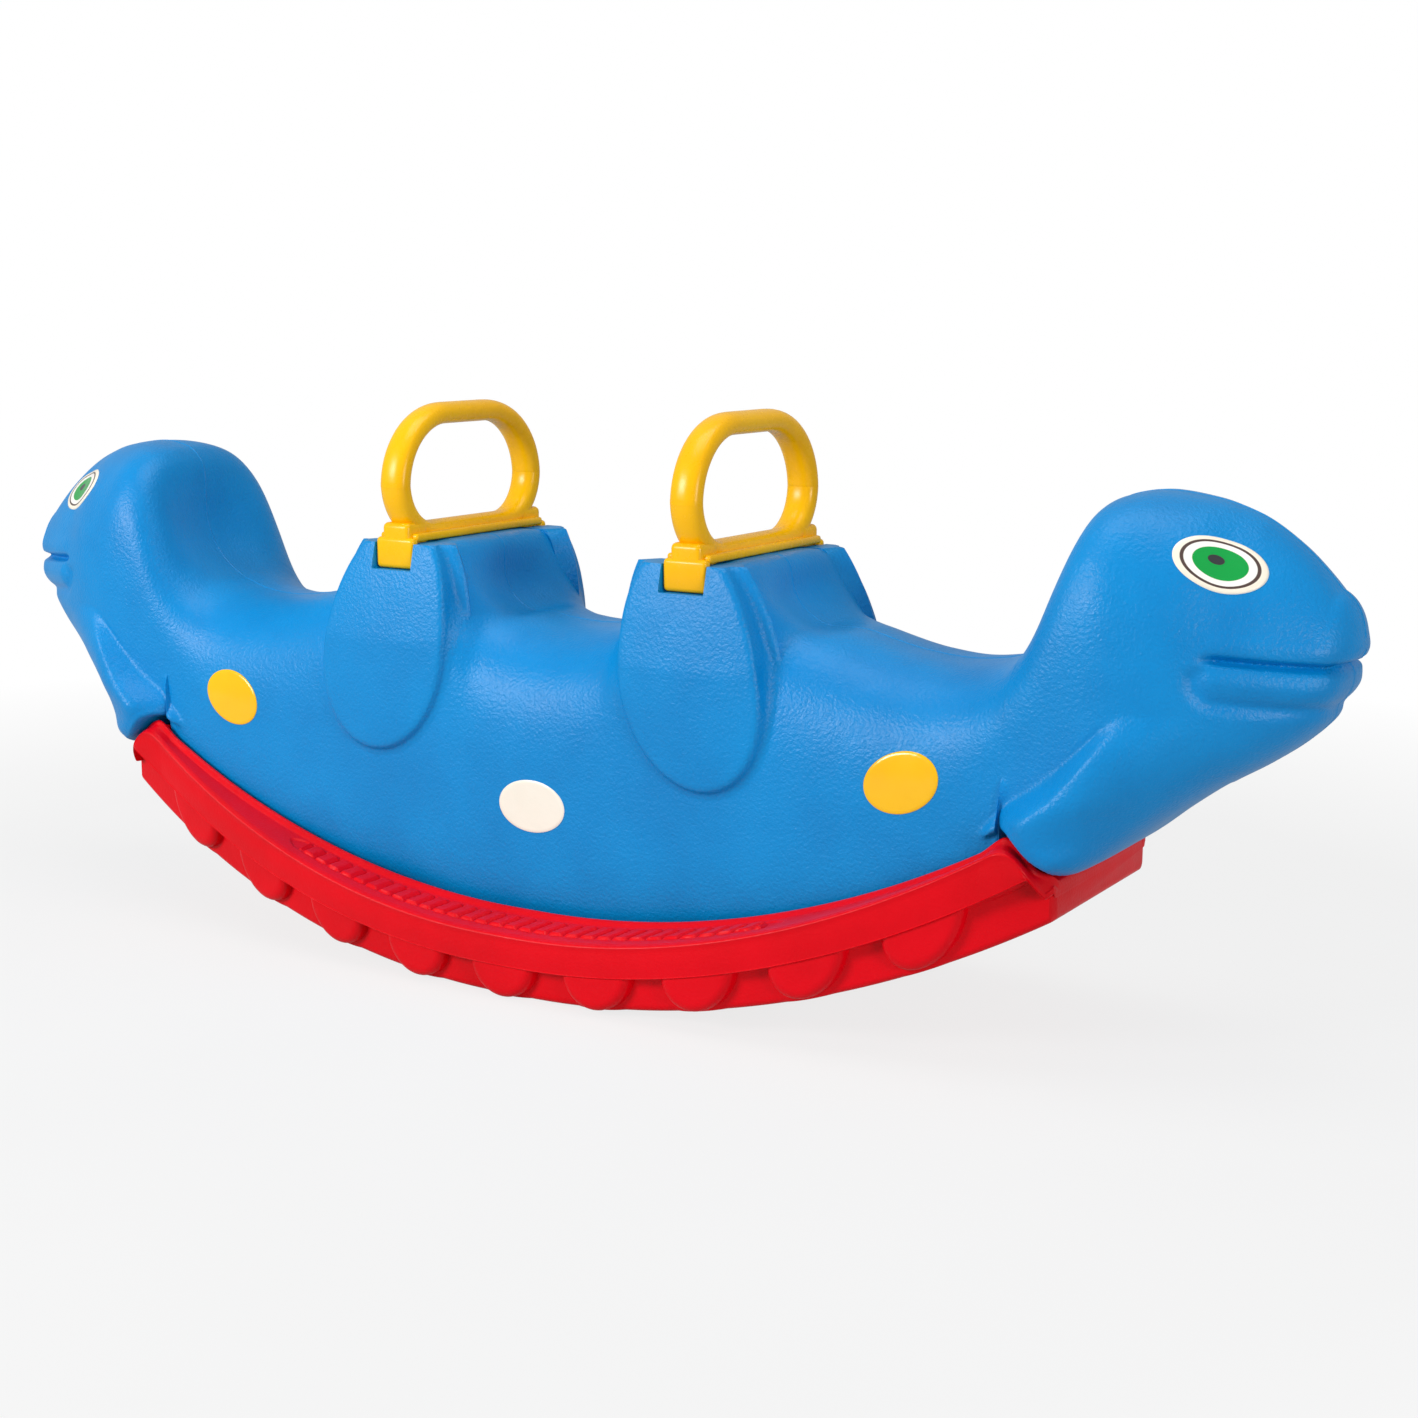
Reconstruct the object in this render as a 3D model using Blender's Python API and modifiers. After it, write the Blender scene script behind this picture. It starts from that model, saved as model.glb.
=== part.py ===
"""A two-headed rocker for small children, in metres, +Z up.

A hollow blow-moulded body with a head at each end sits in a hollow rocker base.
Two loop handles snap into the humps, and six screws hold the body from below.
X runs along the rocker, Y across it, and the origin is where it rests on the floor.
"""

import math

import bmesh
import bpy
from mathutils import Vector
from mathutils.bvhtree import BVHTree

# Driving dimensions
ROCKER_RADIUS = 0.790
BASE_HALF_LENGTH = 0.418
BASE_HALF_WIDTH = 0.1395
BASE_NARROWING = 0.240
REST_FLAT = 0.015
WALL = 0.0040
GAP = 0.0004

# The body's outline along X: height of its top, of its bottom past the base, and its half width
TOP_LINE = [
    (0.0, 0.268), (0.030, 0.270), (0.058, 0.279), (0.080, 0.300), (0.094, 0.3265),
    (0.102, 0.330), (0.160, 0.330), (0.168, 0.3265), (0.182, 0.307), (0.205, 0.291),
    (0.245, 0.278), (0.285, 0.2695), (0.315, 0.267), (0.345, 0.270), (0.366, 0.278),
    (0.380, 0.293), (0.391, 0.314), (0.4035, 0.348), (0.417, 0.3775), (0.430, 0.3875),
    (0.455, 0.3918), (0.485, 0.3887), (0.515, 0.3805), (0.545, 0.362), (0.570, 0.3375),
    (0.584, 0.3185), (0.591, 0.307),
]
CHIN_LINE = [
    (0.418, 0.139), (0.424, 0.1400), (0.437, 0.1465), (0.450, 0.1556), (0.475, 0.176),
    (0.505, 0.1984), (0.535, 0.2175), (0.560, 0.2366), (0.576, 0.255), (0.582, 0.275),
    (0.591, 0.297),
]
HALF_WIDTH = [
    (0.0, 0.0935), (0.131, 0.0920), (0.220, 0.0905), (0.305, 0.0890), (0.370, 0.0870),
    (0.414, 0.0895), (0.440, 0.0908), (0.470, 0.0868), (0.500, 0.0770), (0.530, 0.0636),
    (0.555, 0.0502), (0.573, 0.0395), (0.584, 0.0265), (0.591, 0.0120),
]
WIDEST_HEIGHT = [
    (0.0, 0.165), (0.080, 0.175), (0.131, 0.205), (0.180, 0.175), (0.245, 0.165),
    (0.330, 0.175), (0.380, 0.220), (0.414, 0.250), (0.475, 0.2695), (0.530, 0.2820),
    (0.591, 0.301),
]
UPPER_SQUARENESS = [
    (0.0, 2.8), (0.060, 3.0), (0.098, 6.5), (0.164, 6.5), (0.200, 3.0), (0.300, 2.8),
    (0.430, 3.0), (0.460, 2.45), (0.490, 2.1), (0.515, 1.75), (0.591, 1.8),
]
LOWER_SQUARENESS = [
    (0.0, 6.0), (0.300, 6.0), (0.400, 5.0), (0.450, 3.8), (0.520, 2.8), (0.591, 2.7),
]
FOOT_START = 0.379
FOOT_TOP = 0.165
FOOT_END = 0.418
FOOT_BOTTOM = 0.139
BODY_OVER_FLOOR = 0.034

# The flared legs at the body's ends, as corners on one side: (X, Y, Z)
LEG_CORNERS = [
    (0.374, 0.0885, 0.1740), (0.394, 0.1090, 0.1745), (0.3985, 0.1115, 0.1775),
    (0.4249, 0.1055, 0.2016), (0.4460, 0.0970, 0.2290), (0.4680, 0.0860, 0.2500),
    (0.4131, 0.1000, 0.1485), (0.4198, 0.0900, 0.1405), (0.4600, 0.0880, 0.2150),
    (0.374, 0.0700, 0.1735), (0.4190, 0.0500, 0.1392), (0.436, 0.0700, 0.2300),
]
LEG_UNDERSIDE = ((0.372, 0.1715), (0.418, 0.1454))
LEG_CLEARANCE = 0.0020

# Each head's back is dished, as a backrest for the outer seat
DISH_CENTRE = 0.404
DISH_LENGTH = 0.042
DISH_HALF_WIDTH = 0.066
DISH_DROP = 0.020

BODY_STATIONS = [
    0.0, 0.030, 0.058, 0.078, 0.094, 0.102, 0.131, 0.160, 0.168, 0.182, 0.205, 0.245,
    0.285, 0.315, 0.345, 0.366, 0.3785, 0.3797, 0.391, 0.4035, 0.417, 0.430, 0.455,
    0.485, 0.515, 0.545, 0.567, 0.580, 0.591,
]
CAVITY_STATIONS = [
    0.0, 0.040, 0.074, 0.090, 0.102, 0.160, 0.172, 0.190, 0.225, 0.285, 0.335, 0.366,
    0.385, 0.404, 0.428, 0.458, 0.500, 0.545, 0.566,
]
BODY_RING = 24
CAVITY_RING = 12

# The mouth line, swept round the front of the head about an upright axis
MOUTH_CENTRE = 0.5075
MOUTH_REACH = (0.0760, 0.0800)
MOUTH_TURN = 92
MOUTH_STEPS = 12
MOUTH_HEIGHT = 0.285
MOUTH_LIFT = 0.011
MOUTH_INNER = 0.86
MOUTH_OUTER = 1.30
MOUTH_OPEN = 0.012

# Humps, their oval side lobes and the handles
HUMP_X = 0.1315
HUMP_TOP = 0.330
LOBE_HALF_WIDTH = 0.059
LOBE_CENTRE = (0.140, 0.242)
LOBE_UP = 0.108
LOBE_DOWN = 0.074
LOBE_LEAN = -0.128
LOBE_FACE = 0.1015
LOBE_SIDES = 24
TAB_HALF_WIDTH = 0.0184
TAB_FACE = 0.0880
TAB_INNER = 0.0800
TAB_BOTTOM = 0.3095
BAR_HALF_WIDTH = 0.0185
BAR_END = 0.0820
BAR_TOP = 0.3435
LEG_Y = 0.0846
LEG_HEIGHT = 0.383
GRIP_CENTRE = 0.4262
GRIP_CORNER = 0.040
GRIP_HALF_WIDTH = 0.0125
GRIP_HALF_DEPTH = 0.0084
PEG_Y = 0.046
PEG_SIZE = (0.010, 0.016)
PEG_DEPTH = 0.016
BARB = 0.0025
BARB_HEIGHT = 0.006
BARB_CLEARANCE = 0.0030

# Base section, measured from the rolling surface at each place along X
FLOOR_THICKNESS = 0.0332
TROUGH_CLEARANCE = 0.0015
LIP_HEIGHT = 0.0560
TREAD_HEIGHT = 0.0480
RIM_HEIGHT = 0.0508
BAND_HEIGHT = 0.0258
BAND_RISE = 0.07
RIM_RISE = 0.11
LIP_RISE = 0.12
TREAD_END = 0.232
TOOTH_PITCH = 0.0832
TOOTH_RADIUS = 0.0290
TOOTH_CLEARANCE = 0.0003
TOOTH_RISE = 0.025
TEETH_EACH_SIDE = 9
SIDE_STEP = 0.0120
SIDE_STEP_END = 0.3960
SIDE_STEP_TAPER = 0.7
END_CROWN = 0.0030
LEAST_WING = 0.0110
END_CORNER_START = 0.3960
END_CORNER = 0.0110
END_ROUND_START = 0.3950
END_ROUND = 0.0180

# Screws that hold the body on the base
SCREW_PLACES = [
    (0.300, 0.045), (0.300, -0.045), (-0.300, 0.045), (-0.300, -0.045), (0.105, 0.0), (-0.105, 0.0),
]
SCREW_RADIUS = 0.0024
SCREW_HEAD_RADIUS = 0.0055
SCREW_HEAD = 0.0030
WASHER_RADIUS = 0.0090
WASHER = 0.0012
WELL_RADIUS = 0.0120
WELL_WALL = 0.0035

# Stickers: place along X, height, half length and half height
SPOT = (0.3055, 0.1920, 0.029, 0.0215)
BADGE = (0.0, 0.139, 0.030, 0.0200)
EYE = (0.509, 0.3510, 0.0280, 0.0190)
STICKER = 0.0007
STICKER_SIDES = 20
STICKER_RINGS = 2
STICKER_LIFT = 0.0005
EYE_LIFT = 0.0014
EYE_TILT = 0.9

BLUE = (0.0, 0.246, 0.672, 1.0)
RED = (0.694, 0.0, 0.012, 1.0)
YELLOW = (0.930, 0.503, 0.0, 1.0)
CREAM = (0.955, 0.905, 0.800, 1.0)
ZINC = (0.560, 0.570, 0.580, 1.0)


def clear_scene():
    for item in list(bpy.data.objects):
        bpy.data.objects.remove(item, do_unlink=True)


def new_collection(name):
    collection = bpy.data.collections.new(name)
    bpy.context.scene.collection.children.link(collection)
    return collection


clear_scene()
PARTS = new_collection("rocker")
CUTTERS = new_collection("cutters")


# Small helpers


def material(name, colour, roughness, metallic=0.0):
    made = bpy.data.materials.new(name)
    made.use_nodes = True
    shader = made.node_tree.nodes["Principled BSDF"]
    shader.inputs["Base Color"].default_value = colour
    shader.inputs["Roughness"].default_value = roughness
    shader.inputs["Metallic"].default_value = metallic
    return made


def mesh_object(name, bm, collection, finish=None):
    """A mesh object from this bmesh, its faces turned outwards."""
    bmesh.ops.recalc_face_normals(bm, faces=bm.faces)
    mesh = bpy.data.meshes.new(name)
    bm.to_mesh(mesh)
    bm.free()
    made = bpy.data.objects.new(name, mesh)
    collection.objects.link(made)
    if finish:
        mesh.materials.append(finish)
    if collection is CUTTERS:
        made.hide_render = True
        made.display_type = "WIRE"
    return made


def curve_through(points, x):
    """Height at x on a smooth line through these (x, height) points that doesn't overshoot them."""
    if x <= points[0][0]:
        return points[0][1]
    if x >= points[-1][0]:
        return points[-1][1]
    slopes = [(b[1] - a[1]) / (b[0] - a[0]) for a, b in zip(points, points[1:])]
    at = next(i for i in range(len(slopes)) if x <= points[i + 1][0])

    def tangent(i):
        if i == 0:
            return 0.0
        if i == len(points) - 1:
            return slopes[-1]
        before, after = slopes[i - 1], slopes[i]
        if before * after <= 0:
            return 0.0
        return 2 * before * after / (before + after)

    (x0, y0), (x1, y1) = points[at], points[at + 1]
    span = x1 - x0
    t = (x - x0) / span
    start, end = tangent(at) * span, tangent(at + 1) * span
    return (
        (2 * t**3 - 3 * t**2 + 1) * y0
        + (t**3 - 2 * t**2 + t) * start
        + (3 * t**2 - 2 * t**3) * y1
        + (t**3 - t**2) * end
    )


def loft(name, rings, collection, finish=None):
    """A closed solid through rings of points that all have the same number of them."""
    bm = bmesh.new()
    rows = [[bm.verts.new(point) for point in ring] for ring in rings]
    count = len(rows[0])
    for near, far in zip(rows, rows[1:]):
        for i in range(count):
            j = (i + 1) % count
            bm.faces.new((near[i], near[j], far[j], far[i]))
    bm.faces.new(rows[0])
    bm.faces.new(rows[-1])
    bmesh.ops.triangulate(bm, faces=bm.faces)
    return mesh_object(name, bm, collection, finish)


def box(name, low, high, collection=None, finish=None, rounding=0.0):
    bm = bmesh.new()
    bmesh.ops.create_cube(bm, size=1.0)
    size = Vector(high) - Vector(low)
    bmesh.ops.scale(bm, vec=size, verts=bm.verts)
    bmesh.ops.translate(bm, vec=(Vector(low) + Vector(high)) / 2, verts=bm.verts)
    if rounding:
        bmesh.ops.bevel(bm, geom=bm.edges, offset=rounding, segments=2, affect="EDGES")
    return mesh_object(name, bm, collection or CUTTERS, finish)


def upright_cylinder(name, x, y, low, high, radius, sides=20):
    bm = bmesh.new()
    bmesh.ops.create_cone(
        bm, cap_ends=True, segments=sides, radius1=radius, radius2=radius, depth=high - low
    )
    bmesh.ops.translate(bm, vec=(x, y, (low + high) / 2), verts=bm.verts)
    return mesh_object(name, bm, CUTTERS)


def boolean(target, cutter, operation):
    """Applies one exact Boolean, and drops the shape it used."""
    modifier = target.modifiers.new(operation.lower(), "BOOLEAN")
    modifier.operation = operation
    modifier.object = cutter
    modifier.solver = "EXACT"
    bpy.context.view_layer.update()
    graph = bpy.context.evaluated_depsgraph_get()
    mesh = bpy.data.meshes.new_from_object(target.evaluated_get(graph))
    target.modifiers.clear()
    old = target.data
    target.data = mesh
    bpy.data.meshes.remove(old)
    bpy.data.objects.remove(cutter, do_unlink=True)


def smooth(piece, angle):
    piece.data.shade_smooth()
    piece.data.set_sharp_from_angle(angle=math.radians(angle))


# The body


def rolling_height(x):
    """Height of the base's rolling surface, with a short flat at the middle to rest on."""
    beyond = max(abs(x) - REST_FLAT, 0.0)
    return ROCKER_RADIUS - math.sqrt(ROCKER_RADIUS**2 - beyond**2)


def body_bottom(x):
    if x < FOOT_START:
        return rolling_height(x) + BODY_OVER_FLOOR
    if x < FOOT_END:
        along = (x - FOOT_START) / (FOOT_END - FOOT_START)
        return FOOT_TOP + along * (FOOT_BOTTOM - FOOT_TOP)
    return curve_through(CHIN_LINE, x)


def inset_edges(place, inset):
    """Top, bottom and half width at a place along X, as far inside the outer ones on slopes too."""
    near = (place - inset, place, place + inset) if inset else (place,)
    top = min(curve_through(TOP_LINE, abs(x)) for x in near) - inset
    bottom = max(body_bottom(abs(x)) for x in near) + inset
    half = min(curve_through(HALF_WIDTH, abs(x)) for x in near) - inset
    return top, bottom, half


def dish(place, y):
    """How far the dished back of a head lies under its rounded section."""
    along = (place - DISH_CENTRE) / DISH_LENGTH
    across = y / DISH_HALF_WIDTH
    if abs(along) >= 1 or abs(across) >= 1:
        return 0.0
    return DISH_DROP * (1 - along**2) ** 2 * (1 - across**2) ** 2


def body_ring(x, count, inset=0.0):
    """The body's section at x: a superellipse with its own squareness above and below."""
    place = abs(x)
    top, bottom, half = inset_edges(place, inset)
    middle = curve_through(WIDEST_HEIGHT, place)
    points = []
    for i in range(count):
        turn = 2 * math.pi * (i + 0.5) / count
        across, up = math.cos(turn), math.sin(turn)
        squareness = curve_through(UPPER_SQUARENESS if up > 0 else LOWER_SQUARENESS, place)
        reach = top - middle if up > 0 else middle - bottom
        y = half * math.copysign(abs(across) ** (2 / squareness), across)
        z = middle + reach * math.copysign(abs(up) ** (2 / squareness), up)
        if up > 0:
            z -= dish(place, y)
        points.append((x, y, z))
    return points


def both_ways(stations):
    return [-x for x in reversed(stations) if x > 0] + list(stations)


def lobe_ring(side, way, y, shrink):
    """One outline of the egg-shaped lobe on a hump's side, drawn in smaller by shrink."""
    centre_x, centre_z = LOBE_CENTRE
    points = []
    for i in range(LOBE_SIDES):
        turn = 2 * math.pi * i / LOBE_SIDES
        reach = (LOBE_UP if math.sin(turn) > 0 else LOBE_DOWN) - shrink
        z = min(centre_z + reach * math.sin(turn), HUMP_TOP - 0.001)
        x = centre_x + (LOBE_HALF_WIDTH - shrink) * math.cos(turn) + LOBE_LEAN * (z - centre_z)
        inward = 0.12 * max(z - 0.255, 0.0)
        points.append((side * x, way * (y - inward), z))
    return points


def add_lobe(body, side, way):
    rings = [
        lobe_ring(side, way, 0.070, 0.0),
        lobe_ring(side, way, LOBE_FACE - 0.0040, 0.0),
        lobe_ring(side, way, LOBE_FACE - 0.0012, 0.0015),
        lobe_ring(side, way, LOBE_FACE, 0.0050),
    ]
    boolean(body, loft("lobe", rings, CUTTERS), "UNION")


def add_foot(body, side, way):
    """The leg that flares from the side of the body down to the foot over the base's end."""
    bm = bmesh.new()
    corners = [bm.verts.new((side * x, way * y, z)) for x, y, z in LEG_CORNERS]
    made = bmesh.ops.convex_hull(bm, input=corners)
    spare = [item for item in made["geom_interior"] if isinstance(item, bmesh.types.BMVert)]
    bmesh.ops.delete(bm, geom=spare, context="VERTS")
    boolean(body, mesh_object("leg", bm, CUTTERS), "UNION")


def mouth_cutter(side):
    """A thin wedge round the front of the head, open outwards, for the mouth line."""
    rings = []
    for i in range(MOUTH_STEPS + 1):
        turn = math.radians(MOUTH_TURN * (2 * i / MOUTH_STEPS - 1))
        reach = (MOUTH_REACH[0] * math.cos(turn), MOUTH_REACH[1] * math.sin(turn))
        height = MOUTH_HEIGHT + MOUTH_LIFT * (1 - math.cos(turn))
        inner = (MOUTH_CENTRE + MOUTH_INNER * reach[0], MOUTH_INNER * reach[1])
        outer = (MOUTH_CENTRE + MOUTH_OUTER * reach[0], MOUTH_OUTER * reach[1])
        rings.append(
            [
                (side * inner[0], inner[1], height),
                (side * outer[0], outer[1], height - MOUTH_OPEN * 0.6),
                (side * outer[0], outer[1], height + MOUTH_OPEN * 0.4),
            ]
        )
    return loft("mouth", rings, CUTTERS)


def make_body(finish):
    rings = [body_ring(x, BODY_RING) for x in both_ways(BODY_STATIONS)]
    body = loft("body_shell", rings, PARTS, finish)
    for side in (1, -1):
        for way in (1, -1):
            add_lobe(body, side, way)
            add_foot(body, side, way)
        boolean(body, mouth_cutter(side), "DIFFERENCE")
    rings = [body_ring(x, CAVITY_RING, WALL) for x in both_ways(CAVITY_STATIONS)]
    boolean(body, loft("cavity", rings, CUTTERS), "DIFFERENCE")
    for side in (1, -1):
        for way in (1, -1):
            low = (side * HUMP_X - TAB_HALF_WIDTH - GAP, way * (TAB_INNER - GAP), TAB_BOTTOM - GAP)
            high = (side * HUMP_X + TAB_HALF_WIDTH + GAP, way * 0.12, HUMP_TOP + 0.02)
            boolean(body, box("notch", low, high), "DIFFERENCE")
            centre = Vector((side * HUMP_X, way * PEG_Y, HUMP_TOP - 0.005))
            reach = Vector((PEG_SIZE[1] / 2 + GAP, PEG_SIZE[0] / 2 + GAP, 0.020))
            boolean(body, box("peg_slot", centre - reach, centre + reach), "DIFFERENCE")
    for x, y in SCREW_PLACES:
        hole = upright_cylinder("screw_hole", x, y, 0.0, 0.15, SCREW_RADIUS + GAP, 12)
        boolean(body, hole, "DIFFERENCE")
    boolean(body, upright_cylinder("blow_hole", 0, 0, 0.0, 0.08, 0.007, 16), "DIFFERENCE")
    smooth(body, 35)
    return body


# The base


def base_half_width(x):
    place = abs(x)
    half = BASE_HALF_WIDTH - BASE_NARROWING * place**2
    corner = max(place - END_CORNER_START, 0.0) / (BASE_HALF_LENGTH - END_CORNER_START)
    return half - END_CORNER * corner**2


def base_section(x, inset=0.0):
    """The base's section at x, going round from its underside; inset thins it all round."""
    place = abs(x)
    floor = rolling_height(x)
    half = base_half_width(x) - inset
    inner = min(curve_through(HALF_WIDTH, place) + TROUGH_CLEARANCE + inset, half - LEAST_WING)
    rise = RIM_RISE * place**2
    foot_line = FOOT_TOP - (place - FOOT_START) * (FOOT_TOP - FOOT_BOTTOM) / (FOOT_END - FOOT_START)
    (near, high), (far, low) = LEG_UNDERSIDE
    leg_line = high + (place - near) * (low - high) / (far - near)
    drop = END_ROUND * (max(place - END_ROUND_START, 0.0) / (BASE_HALF_LENGTH - END_ROUND_START)) ** 2
    in_trough = place < FOOT_START
    lip = floor + LIP_HEIGHT + LIP_RISE * place**2
    rim = floor + RIM_HEIGHT + rise
    tread = floor + TREAD_HEIGHT + rise if place < TREAD_END else rim
    lip = min(lip, foot_line - 0.0035) - 0.5 * drop
    rim, tread = (min(z, leg_line - LEG_CLEARANCE) - drop for z in (rim, tread))
    trough = floor + FLOOR_THICKNESS if in_trough else lip
    band = min(floor + BAND_HEIGHT + BAND_RISE * place**2, rim - 0.014)
    narrowed = base_half_width(SIDE_STEP_END) - base_half_width(max(place, SIDE_STEP_END))
    side = SIDE_STEP - SIDE_STEP_TAPER * narrowed
    wing = min((half - inner) / 0.028, 1.0)
    outline = [
        (half - side - 0.006, floor + inset),
        (half - side - 0.0015, floor + 0.003 + inset),
        (half - side, band + inset),
        (half, band + 0.003 + inset),
        (half, rim - 0.004 - inset),
        (half - 0.0050 * wing, rim - inset),
        (half - 0.0100 * wing, tread - inset),
        (inner + 0.0065 * wing, tread + 0.003 - inset if place < TREAD_END else lip - inset),
        (inner + 0.0012 * wing, lip - inset),
        (inner, lip - 0.0012 - inset) if in_trough else (inner, lip - inset),
        (inner, trough + 0.004 - inset) if in_trough else (inner - 0.003, lip - inset),
        (inner - 0.006, trough - inset),
    ]
    if not in_trough:
        crowned = [(y, z + END_CROWN * (1 - (y / half) ** 2)) for y, z in outline[4:]]
        outline = outline[:4] + crowned
    right = [(x, y, z) for y, z in outline]
    left = [(x, -y, z) for y, z in reversed(outline)]
    return right + left


def tooth_half_width(x):
    return base_half_width(x) - 0.0022


def add_tooth(base, x, way):
    """A half-round tooth under the band, as deep as the side step."""
    bm = bmesh.new()
    bmesh.ops.create_cone(
        bm, cap_ends=True, segments=16, radius1=TOOTH_RADIUS, radius2=TOOTH_RADIUS, depth=0.030
    )
    for vert in bm.verts:
        along, up, across = vert.co.x, vert.co.y, vert.co.z
        rounding = 0.004 if across > 0 else 0.0
        scale = (TOOTH_RADIUS - rounding) / TOOTH_RADIUS
        place = x + along * scale
        height = BAND_HEIGHT + BAND_RISE * place**2 + 0.003
        clearance = TOOTH_CLEARANCE + TOOTH_RISE * place**2
        height += (height - clearance) * min(up * scale / TOOTH_RADIUS, 0.0)
        y = tooth_half_width(place) + across - 0.015
        vert.co = (place, way * y, rolling_height(place) + height)
    bmesh.ops.triangulate(bm, faces=bm.faces)
    boolean(base, mesh_object("tooth", bm, CUTTERS), "UNION")


def screw_seat(x):
    """Height of the flat under the trough floor that a screw's washer bears on."""
    lowest = min(rolling_height(abs(x) - WELL_RADIUS), rolling_height(abs(x) + WELL_RADIUS))
    return lowest + FLOOR_THICKNESS - WELL_WALL


def make_base(finish):
    count = 12
    stations = [REST_FLAT + (0.372 - REST_FLAT) * i / count for i in range(count + 1)]
    stations = [0.0] + sorted(stations + [TREAD_END - 0.0005, TREAD_END + 0.0005])
    stations += [0.3785, 0.3797, 0.3825, 0.391, 0.399, 0.407, BASE_HALF_LENGTH]
    rings = [base_section(x) for x in both_ways(stations)]
    base = loft("rocker_base", rings, PARTS, finish)
    for way in (1, -1):
        for i in range(TEETH_EACH_SIDE):
            add_tooth(base, (i - TEETH_EACH_SIDE // 2) * TOOTH_PITCH, way)
    inner_stations = [0.0] + [0.03 + 0.33 * i / 7 for i in range(8)]
    rings = [base_section(x, WALL) for x in both_ways(inner_stations)]
    cavity = loft("base_cavity", rings, CUTTERS)
    for x, y in SCREW_PLACES:
        column = upright_cylinder("column", x, y, -0.02, 0.2, WELL_RADIUS + WALL, 16)
        boolean(cavity, column, "DIFFERENCE")
    boolean(base, cavity, "DIFFERENCE")
    for x, y in SCREW_PLACES:
        well = upright_cylinder("well", x, y, -0.03, screw_seat(x), WELL_RADIUS, 16)
        boolean(base, well, "DIFFERENCE")
        hole = upright_cylinder("screw_hole", x, y, -0.03, 0.15, SCREW_RADIUS + GAP, 12)
        boolean(base, hole, "DIFFERENCE")
    boolean(base, upright_cylinder("blow_hole", 0.04, 0, 0.02, 0.08, 0.007, 16), "DIFFERENCE")
    smooth(base, 30)
    return base


# The handles


def handle_path():
    """The loop's centre line in Y and Z: up one leg, round the corners, across and down."""
    points = [(-LEG_Y + 0.006, BAR_TOP - 0.008), (-LEG_Y, BAR_TOP + 0.021), (-LEG_Y, LEG_HEIGHT)]
    straight = LEG_Y - GRIP_CORNER
    for i in range(1, 7):
        turn = math.radians(90 * i / 6)
        y = -straight - GRIP_CORNER * math.cos(turn)
        z = LEG_HEIGHT + (GRIP_CENTRE - LEG_HEIGHT) * math.sin(turn)
        points.append((y, z))
    return points + [(-y, z) for y, z in reversed(points)]


def grip_ring(x, path, i, sides=12):
    """An oval section across the loop's path, wider along X than it is deep."""
    before = Vector(path[max(i - 1, 0)])
    after = Vector(path[min(i + 1, len(path) - 1)])
    way = (after - before).normalized()
    out = Vector((-way.y, way.x))
    ring = []
    for k in range(sides):
        turn = 2 * math.pi * k / sides
        reach = out * GRIP_HALF_DEPTH * math.sin(turn)
        ring.append((x + GRIP_HALF_WIDTH * math.cos(turn), path[i][0] + reach.x, path[i][1] + reach.y))
    return ring


def make_handle(name, x, finish):
    path = handle_path()
    rings = [grip_ring(x, path, i) for i in range(len(path))]
    handle = loft(name, rings, PARTS, finish)
    low = (x - BAR_HALF_WIDTH, -BAR_END, HUMP_TOP + GAP)
    high = (x + BAR_HALF_WIDTH, BAR_END, BAR_TOP)
    boolean(handle, box("bar", low, high, rounding=0.0035), "UNION")
    for way in (1, -1):
        centre = way * PEG_Y
        low = (x - PEG_SIZE[1] / 2, centre - PEG_SIZE[0] / 2, HUMP_TOP - PEG_DEPTH)
        high = (x + PEG_SIZE[1] / 2, centre + PEG_SIZE[0] / 2, HUMP_TOP + 0.005)
        boolean(handle, box("peg", low, high), "UNION")
        barb_top = HUMP_TOP - WALL - BARB_CLEARANCE
        low = (x - PEG_SIZE[1] / 2 - BARB, centre - PEG_SIZE[0] / 2 + 0.001, barb_top - BARB_HEIGHT)
        high = (x + PEG_SIZE[1] / 2 + BARB, centre + PEG_SIZE[0] / 2 - 0.001, barb_top)
        boolean(handle, box("barb", low, high), "UNION")
    for way in (1, -1):
        low = (x - TAB_HALF_WIDTH, min(way * TAB_INNER, way * TAB_FACE), TAB_BOTTOM)
        high = (x + TAB_HALF_WIDTH, max(way * TAB_INNER, way * TAB_FACE), BAR_TOP - 0.003)
        boolean(handle, box("tab", low, high, rounding=0.002), "UNION")
    smooth(handle, 40)
    return handle


# Stickers and screws


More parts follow.
